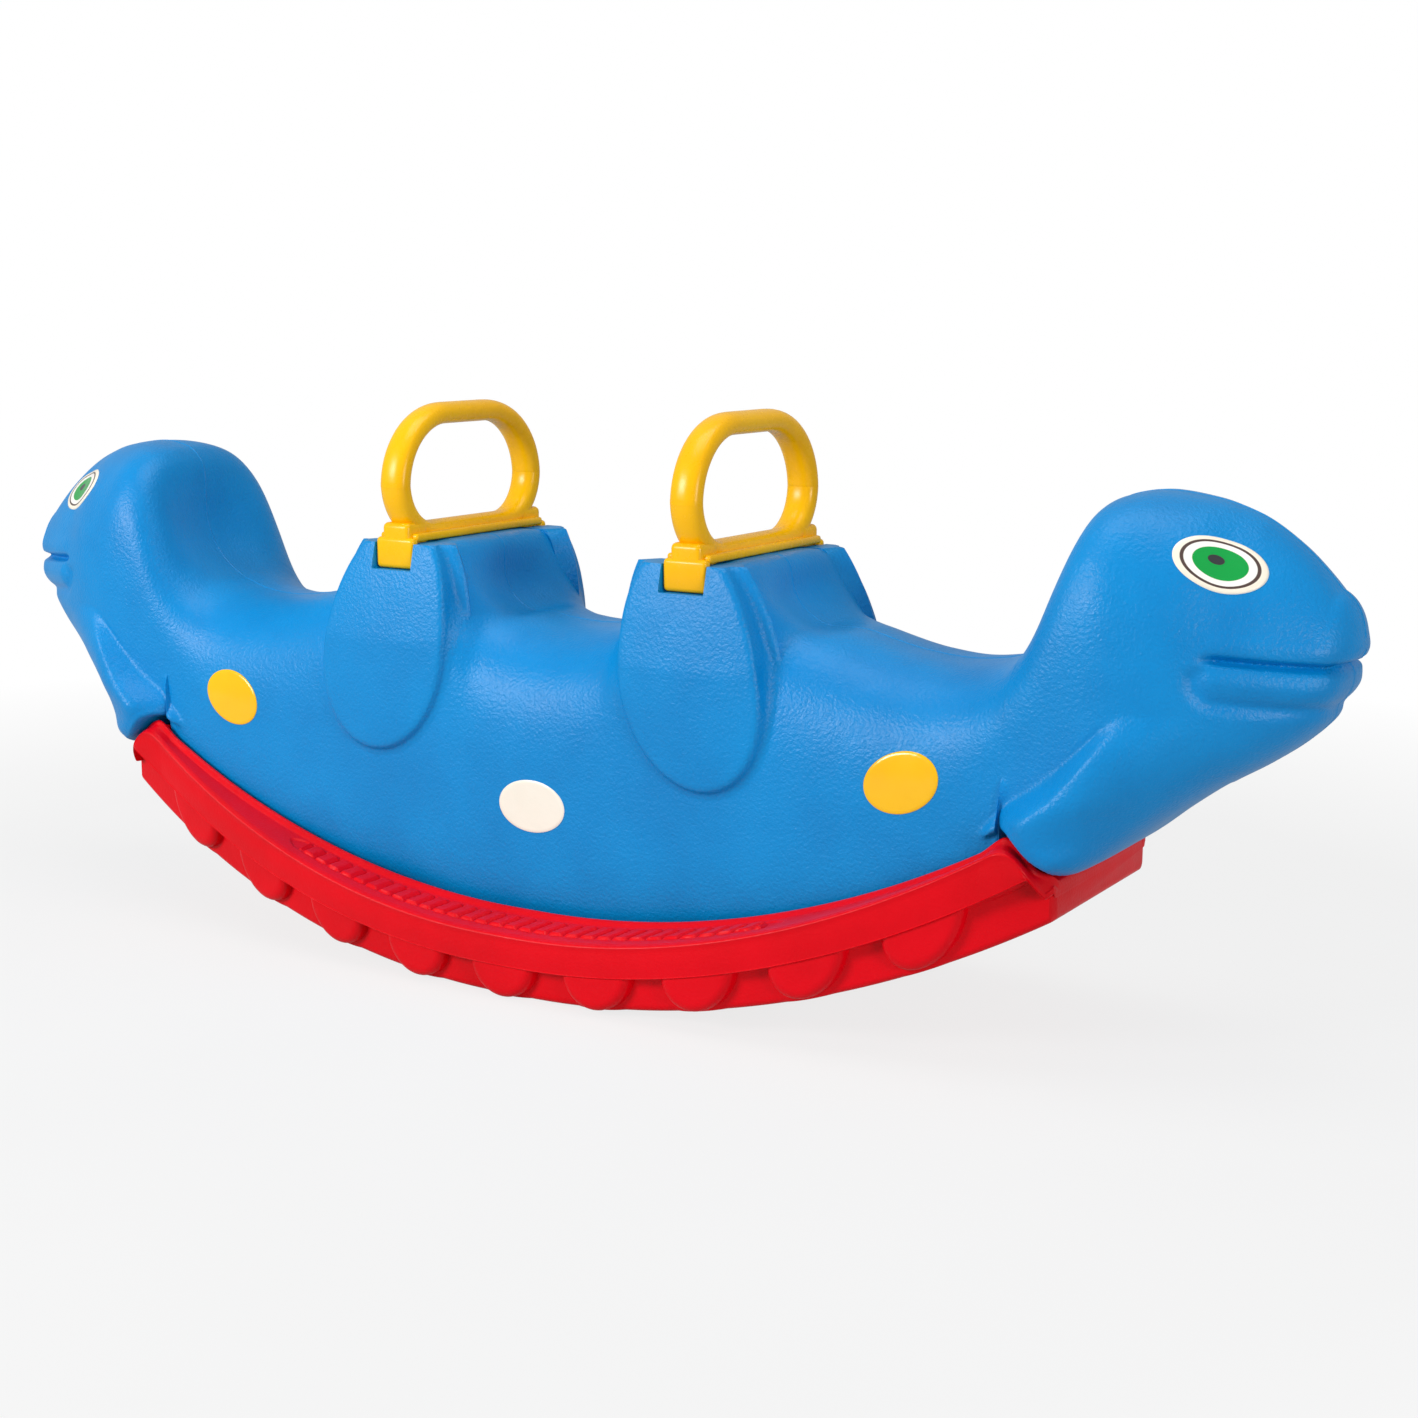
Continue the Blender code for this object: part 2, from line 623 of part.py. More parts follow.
def make_sticker(name, surface, outline, way, tilt, lift, finish):
    """A thin oval label that follows the body's surface, just above it."""
    x, z, half_length, half_height = outline
    origin = Vector((x, way * 0.3, z + tilt * 0.25))
    towards = Vector((0, -way, -tilt)).normalized()
    along = Vector((1, 0, 0))
    up = Vector((0, -way * tilt, 1)).normalized()
    rows = []
    bm = bmesh.new()
    for step in range(STICKER_RINGS + 1):
        radius = step / STICKER_RINGS
        row = []
        for i in range(STICKER_SIDES if step else 1):
            turn = 2 * math.pi * i / STICKER_SIDES
            start = origin + along * half_length * radius * math.cos(turn)
            start += up * half_height * radius * math.sin(turn)
            hit, normal, _, _ = surface.ray_cast(start, towards)
            row.append((hit, normal))
        rows.append(row)
    sheets = []
    for height in (lift, lift + STICKER):
        sheets.append([[bm.verts.new(hit + normal * height) for hit, normal in row] for row in rows])
    for sheet in sheets:
        for i in range(STICKER_SIDES):
            j = (i + 1) % STICKER_SIDES
            bm.faces.new((sheet[0][0], sheet[1][i], sheet[1][j]))
            for near, far in zip(sheet[1:], sheet[2:]):
                bm.faces.new((near[i], far[i], far[j], near[j]))
    for i in range(STICKER_SIDES):
        j = (i + 1) % STICKER_SIDES
        edges = (sheets[0][-1][i], sheets[0][-1][j], sheets[1][-1][j], sheets[1][-1][i])
        bm.faces.new(edges)
    sticker = mesh_object(name, bm, PARTS, finish)
    smooth(sticker, 40)
    return sticker


def make_stickers(body, yellow, cream):
    graph = bpy.context.evaluated_depsgraph_get()
    surface = BVHTree.FromObject(body, graph)
    for side, end in ((1, "right"), (-1, "left")):
        for way, flank in ((-1, "near"), (1, "far")):
            x, z, length, height = SPOT
            spot = (side * x, z, length, height)
            make_sticker(f"spot_{end}_{flank}", surface, spot, way, 0.0, STICKER_LIFT, yellow)
            x, z, length, height = EYE
            eye = (side * x, z, length, height)
            make_sticker(f"eye_{end}_{flank}", surface, eye, way, EYE_TILT, EYE_LIFT, cream)
    for way, flank in ((-1, "near"), (1, "far")):
        make_sticker(f"badge_{flank}", surface, BADGE, way, 0.0, STICKER_LIFT, cream)


def turned(name, profile, x, y, z, finish):
    """A piece turned about its upright axis from (radius, height) points, outer side top to bottom."""
    bm = bmesh.new()
    verts = [bm.verts.new((radius, 0, height)) for radius, height in profile]
    for a, b in zip(verts, verts[1:]):
        bm.edges.new((a, b))
    mesh = bpy.data.meshes.new(name)
    bm.to_mesh(mesh)
    bm.free()
    piece = bpy.data.objects.new(name, mesh)
    PARTS.objects.link(piece)
    piece.location = (x, y, z)
    screw = piece.modifiers.new("turn", "SCREW")
    screw.steps = 10
    screw.render_steps = 10
    screw.use_merge_vertices = True
    screw.merge_threshold = 0.0001
    mesh.materials.append(finish)
    return piece


def make_fasteners(finish):
    for number, (x, y) in enumerate(SCREW_PLACES, 1):
        seat = screw_seat(x)
        bore = SCREW_RADIUS + GAP
        washer = [(bore, WASHER), (WASHER_RADIUS, WASHER), (WASHER_RADIUS, 0), (bore, 0), (bore, WASHER)]
        turned(f"washer_{number}", washer, x, y, seat - GAP - WASHER, finish)
        tip = rolling_height(x) + BODY_OVER_FLOOR + 0.016 - seat
        under = -2 * GAP - WASHER
        head = [
            (0, tip), (SCREW_RADIUS * 0.5, tip - 0.003), (SCREW_RADIUS, tip - 0.007),
            (SCREW_RADIUS, under), (SCREW_HEAD_RADIUS, under),
            (SCREW_HEAD_RADIUS * 0.9, under - SCREW_HEAD * 0.7),
            (SCREW_HEAD_RADIUS * 0.5, under - SCREW_HEAD), (0, under - SCREW_HEAD),
        ]
        turned(f"base_screw_{number}", head, x, y, seat, finish)


blue = material("blue_polyethylene", BLUE, 0.42)
red = material("red_polyethylene", RED, 0.40)
yellow = material("yellow_polypropylene", YELLOW, 0.35)
spot_vinyl = material("yellow_vinyl", YELLOW, 0.30)
label_vinyl = material("cream_vinyl", CREAM, 0.35)
zinc = material("zinc_plated_steel", ZINC, 0.35, 1.0)

body_shell = make_body(blue)
rocker_base = make_base(red)
make_handle("handle_right", HUMP_X, yellow)
make_handle("handle_left", -HUMP_X, yellow)
make_stickers(body_shell, spot_vinyl, label_vinyl)
make_fasteners(zinc)
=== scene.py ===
"""Looks of a two-headed rocker for small children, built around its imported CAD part.

The blue body and the red base are blow mouldings, the yellow loop handles are injection moulded.
X runs along the rocker, Y across it and Z up, in metres. "Near" is the -Y side.
"""

import math
from collections import namedtuple

import bmesh
import bpy
import numpy as np
from mathutils import Matrix, Vector
from mathutils.bvhtree import BVHTree


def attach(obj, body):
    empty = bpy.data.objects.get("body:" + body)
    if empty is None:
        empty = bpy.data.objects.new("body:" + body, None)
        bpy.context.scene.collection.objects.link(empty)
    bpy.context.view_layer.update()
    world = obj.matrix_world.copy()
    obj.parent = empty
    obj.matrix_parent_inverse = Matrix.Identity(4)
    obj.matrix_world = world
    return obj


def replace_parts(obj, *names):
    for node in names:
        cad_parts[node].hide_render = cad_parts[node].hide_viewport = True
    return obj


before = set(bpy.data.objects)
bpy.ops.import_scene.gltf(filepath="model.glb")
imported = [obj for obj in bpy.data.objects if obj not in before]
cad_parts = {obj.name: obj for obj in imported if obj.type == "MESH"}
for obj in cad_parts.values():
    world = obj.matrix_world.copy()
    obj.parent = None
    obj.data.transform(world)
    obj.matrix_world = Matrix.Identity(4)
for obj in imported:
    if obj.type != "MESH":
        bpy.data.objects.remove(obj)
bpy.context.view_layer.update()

# The body's outline along X: height of its top, of its bottom past the base, and its half width
TOP_LINE = [
    (0.0, 0.268), (0.030, 0.270), (0.058, 0.279), (0.080, 0.300), (0.094, 0.3265),
    (0.102, 0.330), (0.160, 0.330), (0.168, 0.3265), (0.182, 0.307), (0.205, 0.291),
    (0.245, 0.278), (0.285, 0.2695), (0.315, 0.267), (0.345, 0.270), (0.366, 0.278),
    (0.380, 0.293), (0.391, 0.314), (0.4035, 0.348), (0.417, 0.3775), (0.430, 0.3875),
    (0.455, 0.3918), (0.485, 0.3887), (0.515, 0.3805), (0.545, 0.362), (0.570, 0.3375),
    (0.584, 0.3185), (0.591, 0.307),
]
CHIN_LINE = [
    (0.418, 0.139), (0.424, 0.1400), (0.437, 0.1465), (0.450, 0.1556), (0.475, 0.176),
    (0.505, 0.1984), (0.535, 0.2175), (0.560, 0.2366), (0.576, 0.255), (0.582, 0.275),
    (0.591, 0.297),
]
HALF_WIDTH = [
    (0.0, 0.0935), (0.131, 0.0920), (0.220, 0.0905), (0.305, 0.0890), (0.370, 0.0870),
    (0.414, 0.0895), (0.440, 0.0908), (0.470, 0.0868), (0.500, 0.0770), (0.530, 0.0636),
    (0.555, 0.0502), (0.573, 0.0395), (0.584, 0.0265), (0.591, 0.0120),
]
WIDEST_HEIGHT = [
    (0.0, 0.165), (0.080, 0.175), (0.131, 0.205), (0.180, 0.175), (0.245, 0.165),
    (0.330, 0.175), (0.380, 0.220), (0.414, 0.250), (0.475, 0.2695), (0.530, 0.2820),
    (0.591, 0.301),
]
UPPER_SQUARENESS = [
    (0.0, 2.8), (0.060, 3.0), (0.098, 6.5), (0.164, 6.5), (0.200, 3.0), (0.300, 2.8),
    (0.430, 3.0), (0.460, 2.45), (0.490, 2.1), (0.515, 1.75), (0.591, 1.8),
]
LOWER_SQUARENESS = [
    (0.0, 6.0), (0.300, 6.0), (0.395, 7.0), (0.412, 12.0), (0.426, 10.0), (0.450, 4.4),
    (0.475, 3.5), (0.520, 2.8), (0.591, 2.7),
]
ROCKER_RADIUS = 0.790
REST_FLAT = 0.015
BODY_OVER_FLOOR = 0.034
FOOT_START = 0.379
FOOT_TOP = 0.165
FOOT_END = 0.418
FOOT_BOTTOM = 0.139
BODY_END = 0.591
NOSE_START = 0.573
NOSE_FULLNESS = 0.15
# How far the corners of these lines are rounded, over the top and down the sides
TOP_BLUR = 0.0028
SIDE_BLUR = 0.004

# Each leg is a wedge that stands out from the side: heights against the places along X of its crest
# and of its inner edge, how far the crest stands out, and the leg's lower border along X
LEG_CREST = [
    (0.1395, 0.4190), (0.1482, 0.4090), (0.1578, 0.4005), (0.1650, 0.3955), (0.1763, 0.3985),
    (0.2016, 0.4249), (0.2287, 0.4465), (0.254, 0.464),
]
LEG_INNER = [
    (0.1395, 0.3900), (0.1650, 0.3660), (0.1755, 0.3720), (0.2020, 0.4020), (0.2269, 0.4280),
    (0.254, 0.453),
]
LEG_STANDS = [
    (0.1395, 0.0020), (0.1449, 0.0090), (0.1513, 0.0165), (0.1578, 0.0205), (0.1650, 0.0228),
    (0.1763, 0.0232), (0.2016, 0.0150), (0.2287, 0.0085), (0.254, 0.0),
]
LEG_BORDER = [
    (0.366, 0.1600), (0.3745, 0.1640), (0.3800, 0.1662), (0.3860, 0.1674), (0.3898, 0.1664),
    (0.3964, 0.1620), (0.4001, 0.1578), (0.4056, 0.1513), (0.4131, 0.1449), (0.4198, 0.1400),
    (0.4300, 0.1320),
]
LEG_FADE = 0.060
LEG_DIP = 0.0030
LEG_DIP_START = 0.006
LEG_DIP_FADE = 0.040
LEG_ROLL = 0.0016
LEG_ROLL_ABOVE = 0.0050
LEG_ROLL_WIDTH = 0.0030
# Along X, the leg ends in an edge over the base from the first place to the last
LEG_EDGE_START = 0.361
LEG_EDGE_FADE = 0.012
LEG_EDGE_END = 0.4300
BODY_SIDE = 0.088

# Shallow dishes in the back of a head, in a hump's inner flank and in its outer one: the height of
# their middle, their half height and half width, their two ends along X, how softly each end
# starts, and their depth
Dish = namedtuple("Dish", "height tall wide start start_fade end end_fade depth")
DISHES = [
    Dish(0.322, 0.056, 0.068, start=0.352, start_fade=0.02, end=0.436, end_fade=0.02, depth=0.016),
    Dish(0.293, 0.034, 0.064, start=0.040, start_fade=0.02, end=0.104, end_fade=0.010, depth=0.013),
    Dish(0.298, 0.034, 0.064, start=0.160, start_fade=0.01, end=0.240, end_fade=0.04, depth=0.012),
]
LOWEST_DISH = 0.24

# The mouth: its corner lies this far round the head, in degrees, and the line dips towards the nose
MOUTH_CENTRE = 0.5075
MOUTH_REACH = 0.078
MOUTH_TURN = 92
MOUTH_HEIGHT = 0.2862
MOUTH_LIFT = 0.0064
GROOVE_DEPTH = 0.0075
GROOVE_WIDTH = 0.0027
UPPER_LIP = 0.0012
UPPER_LIP_ABOVE = 0.0100
UPPER_LIP_WIDTH = 0.0070
LIP_ROLL = 0.0028
LIP_ROLL_WIDTH = 0.0080
LIP_ROLL_BELOW = 0.0135
LIP_ROLL_REACH = 0.0130
CREASE_DEPTH = 0.0030
CREASE_DISTANCE = 0.0150
CREASE_WIDTH = 0.0048
MOULD_LINE = 0.00045
# The mouth is pressed in above this height and beyond this place along X only
MOUTH_ABOVE = 0.20
MOUTH_BEYOND = 0.47

# Humps, their egg-shaped side lobes, the notches and the handles
HUMP_X = 0.1315
HUMP_TOP = 0.330
LOBE_HALF_WIDTH = 0.059
LOBE_CENTRE = (0.140, 0.242)
LOBE_UP = 0.108
LOBE_DOWN = 0.074
LOBE_LEAN = -0.128
LOBE_FACE = 0.1015
TAB_HALF_WIDTH = 0.0184
TAB_FACE = 0.0880
TAB_INNER = 0.0800
TAB_BOTTOM = 0.3095
BAR_HALF_WIDTH = 0.0185
BAR_END = 0.0820
FLANGE_TOP = 0.3365
BAR_TOP = 0.3435
LEG_Y = 0.0846
LEG_HEIGHT = 0.371
GRIP_CENTRE = 0.4262
GRIP_CORNER = 0.058
LOOP_CORNER = 0.040
GRIP_HALF_WIDTH = 0.0125
GRIP_HALF_DEPTH = 0.0084
GRIP_FULLNESS = 0.9
NOTCH_GAP = 0.0006

# The base's section, measured from the rolling surface at each place along X
BASE_HALF_LENGTH = 0.418
BASE_HALF_WIDTH = 0.1395
BASE_NARROWING = 0.240
WING_EVEN_START = 0.372
WING_EVEN = 0.05
END_CORNER_START = 0.402
END_CORNER = 0.0185
END_EDGE = 0.0035
BAND_END = 0.379
BAND_END_FALL = 37.6
BAND_END_DEPTH = 0.047
BAND_HEIGHT = 0.0258
BAND_RISE = 0.07
BAND_BULGE = 0.0006
RIM_HEIGHT = 0.0508
RIM_RISE = 0.11
RIM_ROUNDING = 0.0026
LIP_HEIGHT = 0.0600
LIP_RISE = 0.07
LIP_END_START = 0.366
LIP_END_FADE = 0.016
LIP_END_RISE = 0.0035
# From the tread up to the lip: distance from the lip's inner edge, the largest share of the wing
# that it takes, and how far below the lip's top
LIP_PROFILE = [(0.0085, 0.38, 0.0040), (0.0042, 0.22, 0.0008), (0.0022, 0.12, 0.0), (0.0, 0.0, 0.0001)]
GAP_ROUND_BODY = 0.0026
NARROWEST_WING = 0.011
TREAD_END = 0.228
TREAD_END_ROUND = 0.010
TREAD_SINK = 0.0011
TREAD_FADE = 0.003
TREAD_MIDDLE = 0.110
TREAD_FROM_RIM = 0.0110
TREAD_MARGINS = 0.0205
TREAD_BORDER = 0.0036
TOOTH_PITCH = 0.0832
TOOTH_HALF_LENGTH = 0.0290
TOOTH_CLEARANCE = 0.0003
TOOTH_RISE = 0.025
TEETH_EACH_SIDE = 9
TOOTH_SET_BACK = 0.0022
TOOTH_ROUNDING = 0.0070
RECESS_DEPTH = 0.0120
RECESS_LEAST = 0.0045
RIB_PITCH = 0.0139
RIB_GROOVE = 0.0019
RIB_HEIGHT = 0.0028
RIB_END_GAP = 0.014
RIB_SLANT = 0.33
RIB_FAN = 0.9

# Stickers: place along X, height, half length and half height, then how steeply the eye's face
# looks up, and the turn of the eyes and the spots in degrees
SPOT = (0.3055, 0.1920, 0.0285, 0.0210)
BADGE = (0.0, 0.1390, 0.0300, 0.0200)
EYE = (0.5086, 0.3512, 0.0280, 0.0187)
EYE_TILT = 0.9
EYE_TURN = -6
SPOT_TURN = 20

# The camera that the photograph implies: where it stands, how it is turned, and its lens
CAMERA_AT = (0.9588, -1.4080, 0.5167)
CAMERA_AZIMUTH = 31.41
CAMERA_ELEVATION = 10.58
CAMERA_ROLL = 0.17
LENS_MM = 56.13
SENSOR_MM = 36

# How far out from the middle the rays start that find the body's skin, and how far in from there a
# sloping ray is at the height asked for
RAY_START = 0.3
RAY_REACH = 0.25


# Lines, grids and meshes


def line(points, places):
    """Heights at these places on a line through (place, height) points that doesn't overshoot them."""
    xs, ys = np.array(points).T
    steps = np.diff(xs)
    slopes = np.diff(ys) / steps
    before, after = slopes[:-1], slopes[1:]
    rising = before * after > 0
    turns = np.zeros(len(xs))
    turns[1:-1][rising] = 2 * (before * after)[rising] / (before + after)[rising]
    turns[-1] = slopes[-1]
    places = np.clip(places, xs[0], xs[-1])
    at = np.clip(np.searchsorted(xs, places) - 1, 0, len(steps) - 1)
    t = (places - xs[at]) / steps[at]
    start = turns[at] * steps[at]
    end = turns[at + 1] * steps[at]
    return (
        (2 * t**3 - 3 * t**2 + 1) * ys[at]
        + (t**3 - 2 * t**2 + t) * start
        + (3 * t**2 - 2 * t**3) * ys[at + 1]
        + (t**3 - t**2) * end
    )


def soft_line(points, places, blur=TOP_BLUR):
    """The same line, mirrored about X = 0 and rounded over a few millimetres."""
    step = 0.0005
    fine = np.arange(-0.64, 0.64, step)
    reach = np.arange(-4 * blur, 4 * blur, step)
    weights = np.exp(-0.5 * (reach / blur) ** 2)
    padded = np.pad(line(points, abs(fine)), len(reach), "edge")
    values = np.convolve(padded, weights / weights.sum(), "same")
    return np.interp(places, fine, values[len(reach):-len(reach)])


def ease(values):
    """0 below 0, 1 above 1, and a smooth step between."""
    t = np.clip(values, 0.0, 1.0)
    return t * t * (3 - 2 * t)


def bump(values):
    """1 at 0 and smoothly down to 0 at 1 and -1."""
    t = np.clip(values, -1.0, 1.0)
    return (1 - t * t) ** 2


def bell(values):
    """1 at 0, falling away evenly on both sides."""
    return np.exp(-(values**2))


def grid_normals(grid):
    """Outward directions over a grid of points that closes on itself along its second axis."""
    along = np.gradient(grid, axis=0)
    around = np.roll(grid, -1, axis=1) - np.roll(grid, 1, axis=1)
    normals = np.cross(along, around)
    length = np.linalg.norm(normals, axis=2, keepdims=True)
    normals = normals / np.maximum(length, 1e-12)
    middle = grid.mean(axis=1, keepdims=True)
    outward = ((grid - middle) * normals).sum(axis=2).mean()
    return normals if outward > 0 else -normals


def grid_piece(name, grid, finish):
    """A closed mesh over a grid of rings, with its two ends filled."""
    rings, count = grid.shape[:2]
    index = np.arange(rings * count).reshape(rings, count)
    near, far = index[:-1], index[1:]
    quads = np.stack([near, np.roll(near, -1, 1), np.roll(far, -1, 1), far], axis=2).reshape(-1, 4)
    faces = quads.tolist() + [index[0].tolist(), index[-1].tolist()]
    mesh = bpy.data.meshes.new(name)
    mesh.from_pydata(grid.reshape(-1, 3).tolist(), [], faces)
    return finished_piece(name, mesh, finish)


def ring_piece(name, grid, finish):
    """A closed mesh over a grid that closes on itself both ways."""
    rings, count = grid.shape[:2]
    near = np.arange(rings * count).reshape(rings, count)
    far = np.roll(near, -1, 0)
    quads = np.stack([near, np.roll(near, -1, 1), np.roll(far, -1, 1), far], axis=2).reshape(-1, 4)
    mesh = bpy.data.meshes.new(name)
    mesh.from_pydata(grid.reshape(-1, 3).tolist(), [], quads.tolist())
    return finished_piece(name, mesh, finish)


def finished_piece(name, mesh, finish):
    """An object of this mesh, its faces turned outwards."""
    bm = bmesh.new()
    bm.from_mesh(mesh)
    bmesh.ops.recalc_face_normals(bm, faces=bm.faces)
    bm.to_mesh(mesh)
    bm.free()
    piece = bpy.data.objects.new(name, mesh)
    bpy.context.scene.collection.objects.link(piece)
    if finish:
        mesh.materials.append(finish)
    return piece


def combine(target, cutter, operation):
    """Joins a shape to a piece or cuts it out of the piece, and drops the shape it used."""
    modifier = target.modifiers.new(operation.lower(), "BOOLEAN")
    modifier.operation = operation
    modifier.object = cutter
    modifier.solver = "MANIFOLD"
    bpy.context.view_layer.update()
    graph = bpy.context.evaluated_depsgraph_get()
    mesh = bpy.data.meshes.new_from_object(target.evaluated_get(graph))
    target.modifiers.clear()
    old = target.data
    target.data = mesh
    bpy.data.meshes.remove(old)
    bpy.data.objects.remove(cutter, do_unlink=True)


def smooth(piece, angle):
    piece.data.shade_smooth()
    piece.data.set_sharp_from_angle(angle=math.radians(angle))


def surface_of(piece):
    return BVHTree.FromObject(piece, bpy.context.evaluated_depsgraph_get())


# Materials


def linear(code):
    """A hex sRGB colour as the linear values that a shader takes."""
    channels = [int(code[i:i + 2], 16) / 255 for i in (1, 3, 5)]
    return tuple(c / 12.92 if c <= 0.04045 else ((c + 0.055) / 1.055) ** 2.4 for c in channels) + (1.0,)


def set_stops(colour_ramp, stops):
    """Gives a colour ramp these (position, colour or grey) stops."""
    elements = colour_ramp.elements
    while len(elements) < len(stops):
        elements.new(0.5)
    for element, (position, colour) in zip(elements, stops):
        element.position = position
        element.color = colour if isinstance(colour, tuple) else (colour, colour, colour, 1.0)


def add_node(tree, kind, settings, links):
    """Adds one node, with its properties, colour stops and constant sockets in settings.

    A socket goes by its name, or by its number where another has the same name.
    """
    node = tree.nodes.new(kind)
    for key, value in settings.items():
        if key == "stops":
            set_stops(node.color_ramp, value)
        elif isinstance(key, int) or key in node.inputs:
            node.inputs[key].default_value = value
        else:
            setattr(node, key, value)
    for key, source in links.items():
        tree.links.new(source, node.inputs[key])
    return node


def start_material(name, roughness, metallic=0.0):
    """A new material with its node tree and its shader."""
    material = bpy.data.materials.new(name)
    material.use_nodes = True
    tree = material.node_tree
    shader = tree.nodes["Principled BSDF"]
    shader.inputs["Roughness"].default_value = roughness
    shader.inputs["Metallic"].default_value = metallic
    return material, tree, shader


def per_metre(size_mm):
    """The scale of a pattern whose patches are this many millimetres across."""
    return 1000.0 / size_mm


PLASTIC_IOR = 1.5
PIGMENT_CLOUD_MM = 111.1
WEAR_MM = 16.67
ZINC_CLOUD_MM = 4.55
FLOOR_CLOUD_MM = 333.3


def moulded_plastic(name, deep, plain, pale, roughness, grain_mm, grain_depth, mirror=0.5):
    """A plastic skin: clouds in the pigment, patches rubbed more or less matt, and the mould's grain."""
    material, tree, shader = start_material(name, roughness)
    shader.inputs["IOR"].default_value = PLASTIC_IOR
    shader.inputs["Specular IOR Level"].default_value = mirror
    place = add_node(tree, "ShaderNodeTexCoord", {}, {}).outputs["Object"]

    settings = {"Scale": per_metre(PIGMENT_CLOUD_MM), "Detail": 4.0, "Roughness": 0.6}
    cloud = add_node(tree, "ShaderNodeTexNoise", settings, {"Vector": place})
    stops = [(0.30, linear(deep)), (0.52, linear(plain)), (0.80, linear(pale))]
    colour = add_node(tree, "ShaderNodeValToRGB", {"stops": stops}, {"Fac": cloud.outputs["Fac"]})
    tree.links.new(colour.outputs["Color"], shader.inputs["Base Color"])

    settings = {"Scale": per_metre(WEAR_MM), "Detail": 6.0, "Roughness": 0.7}
    wear = add_node(tree, "ShaderNodeTexNoise", settings, {"Vector": place})
    stops = [(0.25, roughness - 0.05), (0.75, roughness + 0.07)]
    rubbed = add_node(tree, "ShaderNodeValToRGB", {"stops": stops}, {"Fac": wear.outputs["Fac"]})
    tree.links.new(rubbed.outputs["Color"], shader.inputs["Roughness"])

    settings = {"Scale": per_metre(grain_mm), "Detail": 2.0, "Roughness": 0.55}
    grain = add_node(tree, "ShaderNodeTexNoise", settings, {"Vector": place})
    settings = {"Strength": 1.0, "Distance": grain_depth}
    peel = add_node(tree, "ShaderNodeBump", settings, {"Height": grain.outputs["Fac"]})
    tree.links.new(peel.outputs["Normal"], shader.inputs["Normal"])
    return material


# Blow-moulded polyethylene has a satin skin with an orange-peel grain, which breaks its highlights
# into sparkle. The grain is drawn a few millimetres across, coarse enough to show from the camera
BLUE = moulded_plastic(
    "blue_blow_moulded_polyethylene", "#0080C6", "#0089D0", "#0092DA", 0.35, 2.4, 0.00065, mirror=0.27
)
# The base's mould is smoother than the body's, so its red looks even, with a soft sheen on the edges
RED = moulded_plastic(
    "red_blow_moulded_polyethylene", "#D40010", "#E20014", "#EC0018", 0.35, 2.0, 0.00025, mirror=0.15
)
# Polypropylene from a polished steel mould is glossier, with only slow waves in its skin
YELLOW = moulded_plastic(
    "yellow_injection_moulded_polypropylene", "#F8B600", "#FFC000", "#FFC800", 0.26, 5.0, 0.00008, mirror=0.3
)
# Cast vinyl labels are glossy and show faint ripples where they bridge the grain below
SPOT_VINYL = moulded_plastic("yellow_gloss_vinyl", "#F8B800", "#FCC200", "#FFCB10", 0.16, 7.0, 0.00020)
BADGE_VINYL = moulded_plastic("cream_gloss_vinyl", "#F4ECDC", "#FBF4E6", "#FFF9EE", 0.20, 7.0, 0.00015)


def zinc_plate():
    """Bright zinc plate on turned steel: a cool grey metal, cloudy in patches of a few millimetres."""
    material, tree, shader = start_material("zinc_plated_steel", 0.32, metallic=1.0)
    place = add_node(tree, "ShaderNodeTexCoord", {}, {}).outputs["Object"]
    settings = {"Scale": per_metre(ZINC_CLOUD_MM), "Detail": 5.0}
    cloud = add_node(tree, "ShaderNodeTexNoise", settings, {"Vector": place}).outputs["Fac"]
    stops = [(0.3, linear("#B4B6B8")), (0.7, linear("#CACCCB"))]
    colour = add_node(tree, "ShaderNodeValToRGB", {"stops": stops}, {"Fac": cloud})
    tree.links.new(colour.outputs["Color"], shader.inputs["Base Color"])
    stops = [(0.3, 0.26), (0.7, 0.40)]
    dulled = add_node(tree, "ShaderNodeValToRGB", {"stops": stops}, {"Fac": cloud})
    tree.links.new(dulled.outputs["Color"], shader.inputs["Roughness"])
    return material


ZINC = zinc_plate()

# The eye's printed rings, as parts of its half size from the middle out, where its pupil is set,
# and how sharp the print's edges are
PUPIL = 0.17
PUPIL_AT = (-0.10, 0.10, 0.0)
IRIS = 0.58
WHITE_RING = 0.76
DARK_RING = 0.84
PRINT_EDGE = 0.012


def printed_eye():
    """Gloss vinyl with the eye's rings printed on it: pupil, iris, white, dark line, cream border."""
    material, tree, shader = start_material("printed_gloss_vinyl", 0.22)
    shader.inputs["IOR"].default_value = PLASTIC_IOR
    place = add_node(tree, "ShaderNodeUVMap", {"uv_map": "rings"}, {}).outputs["UV"]
    green, white, dark, cream = (linear(code) for code in ("#00A244", "#FDFBF4", "#54423E", "#FBF2E0"))
    stops = [
        (IRIS, green), (IRIS + PRINT_EDGE, white), (WHITE_RING, white), (WHITE_RING + PRINT_EDGE, dark),
        (DARK_RING, dark), (DARK_RING + PRINT_EDGE, cream),
    ]
    radius = add_node(tree, "ShaderNodeVectorMath", {"operation": "LENGTH"}, {"Vector": place})
    rings = add_node(tree, "ShaderNodeValToRGB", {"stops": stops}, {"Fac": radius.outputs["Value"]})
    settings = {"operation": "DISTANCE", 1: PUPIL_AT}
    from_pupil = add_node(tree, "ShaderNodeVectorMath", settings, {0: place})
    stops = [(PUPIL, 1.0), (PUPIL + PRINT_EDGE, 0.0)]
    inside = add_node(tree, "ShaderNodeValToRGB", {"stops": stops}, {"Fac": from_pupil.outputs["Value"]})
    settings = {"data_type": "RGBA", 7: linear("#34373A")}
    sources = {0: inside.outputs["Color"], 6: rings.outputs["Color"]}
    printed = add_node(tree, "ShaderNodeMix", settings, sources)
    tree.links.new(printed.outputs[2], shader.inputs["Base Color"])
    return material


EYE_PRINT = printed_eye()


# The body


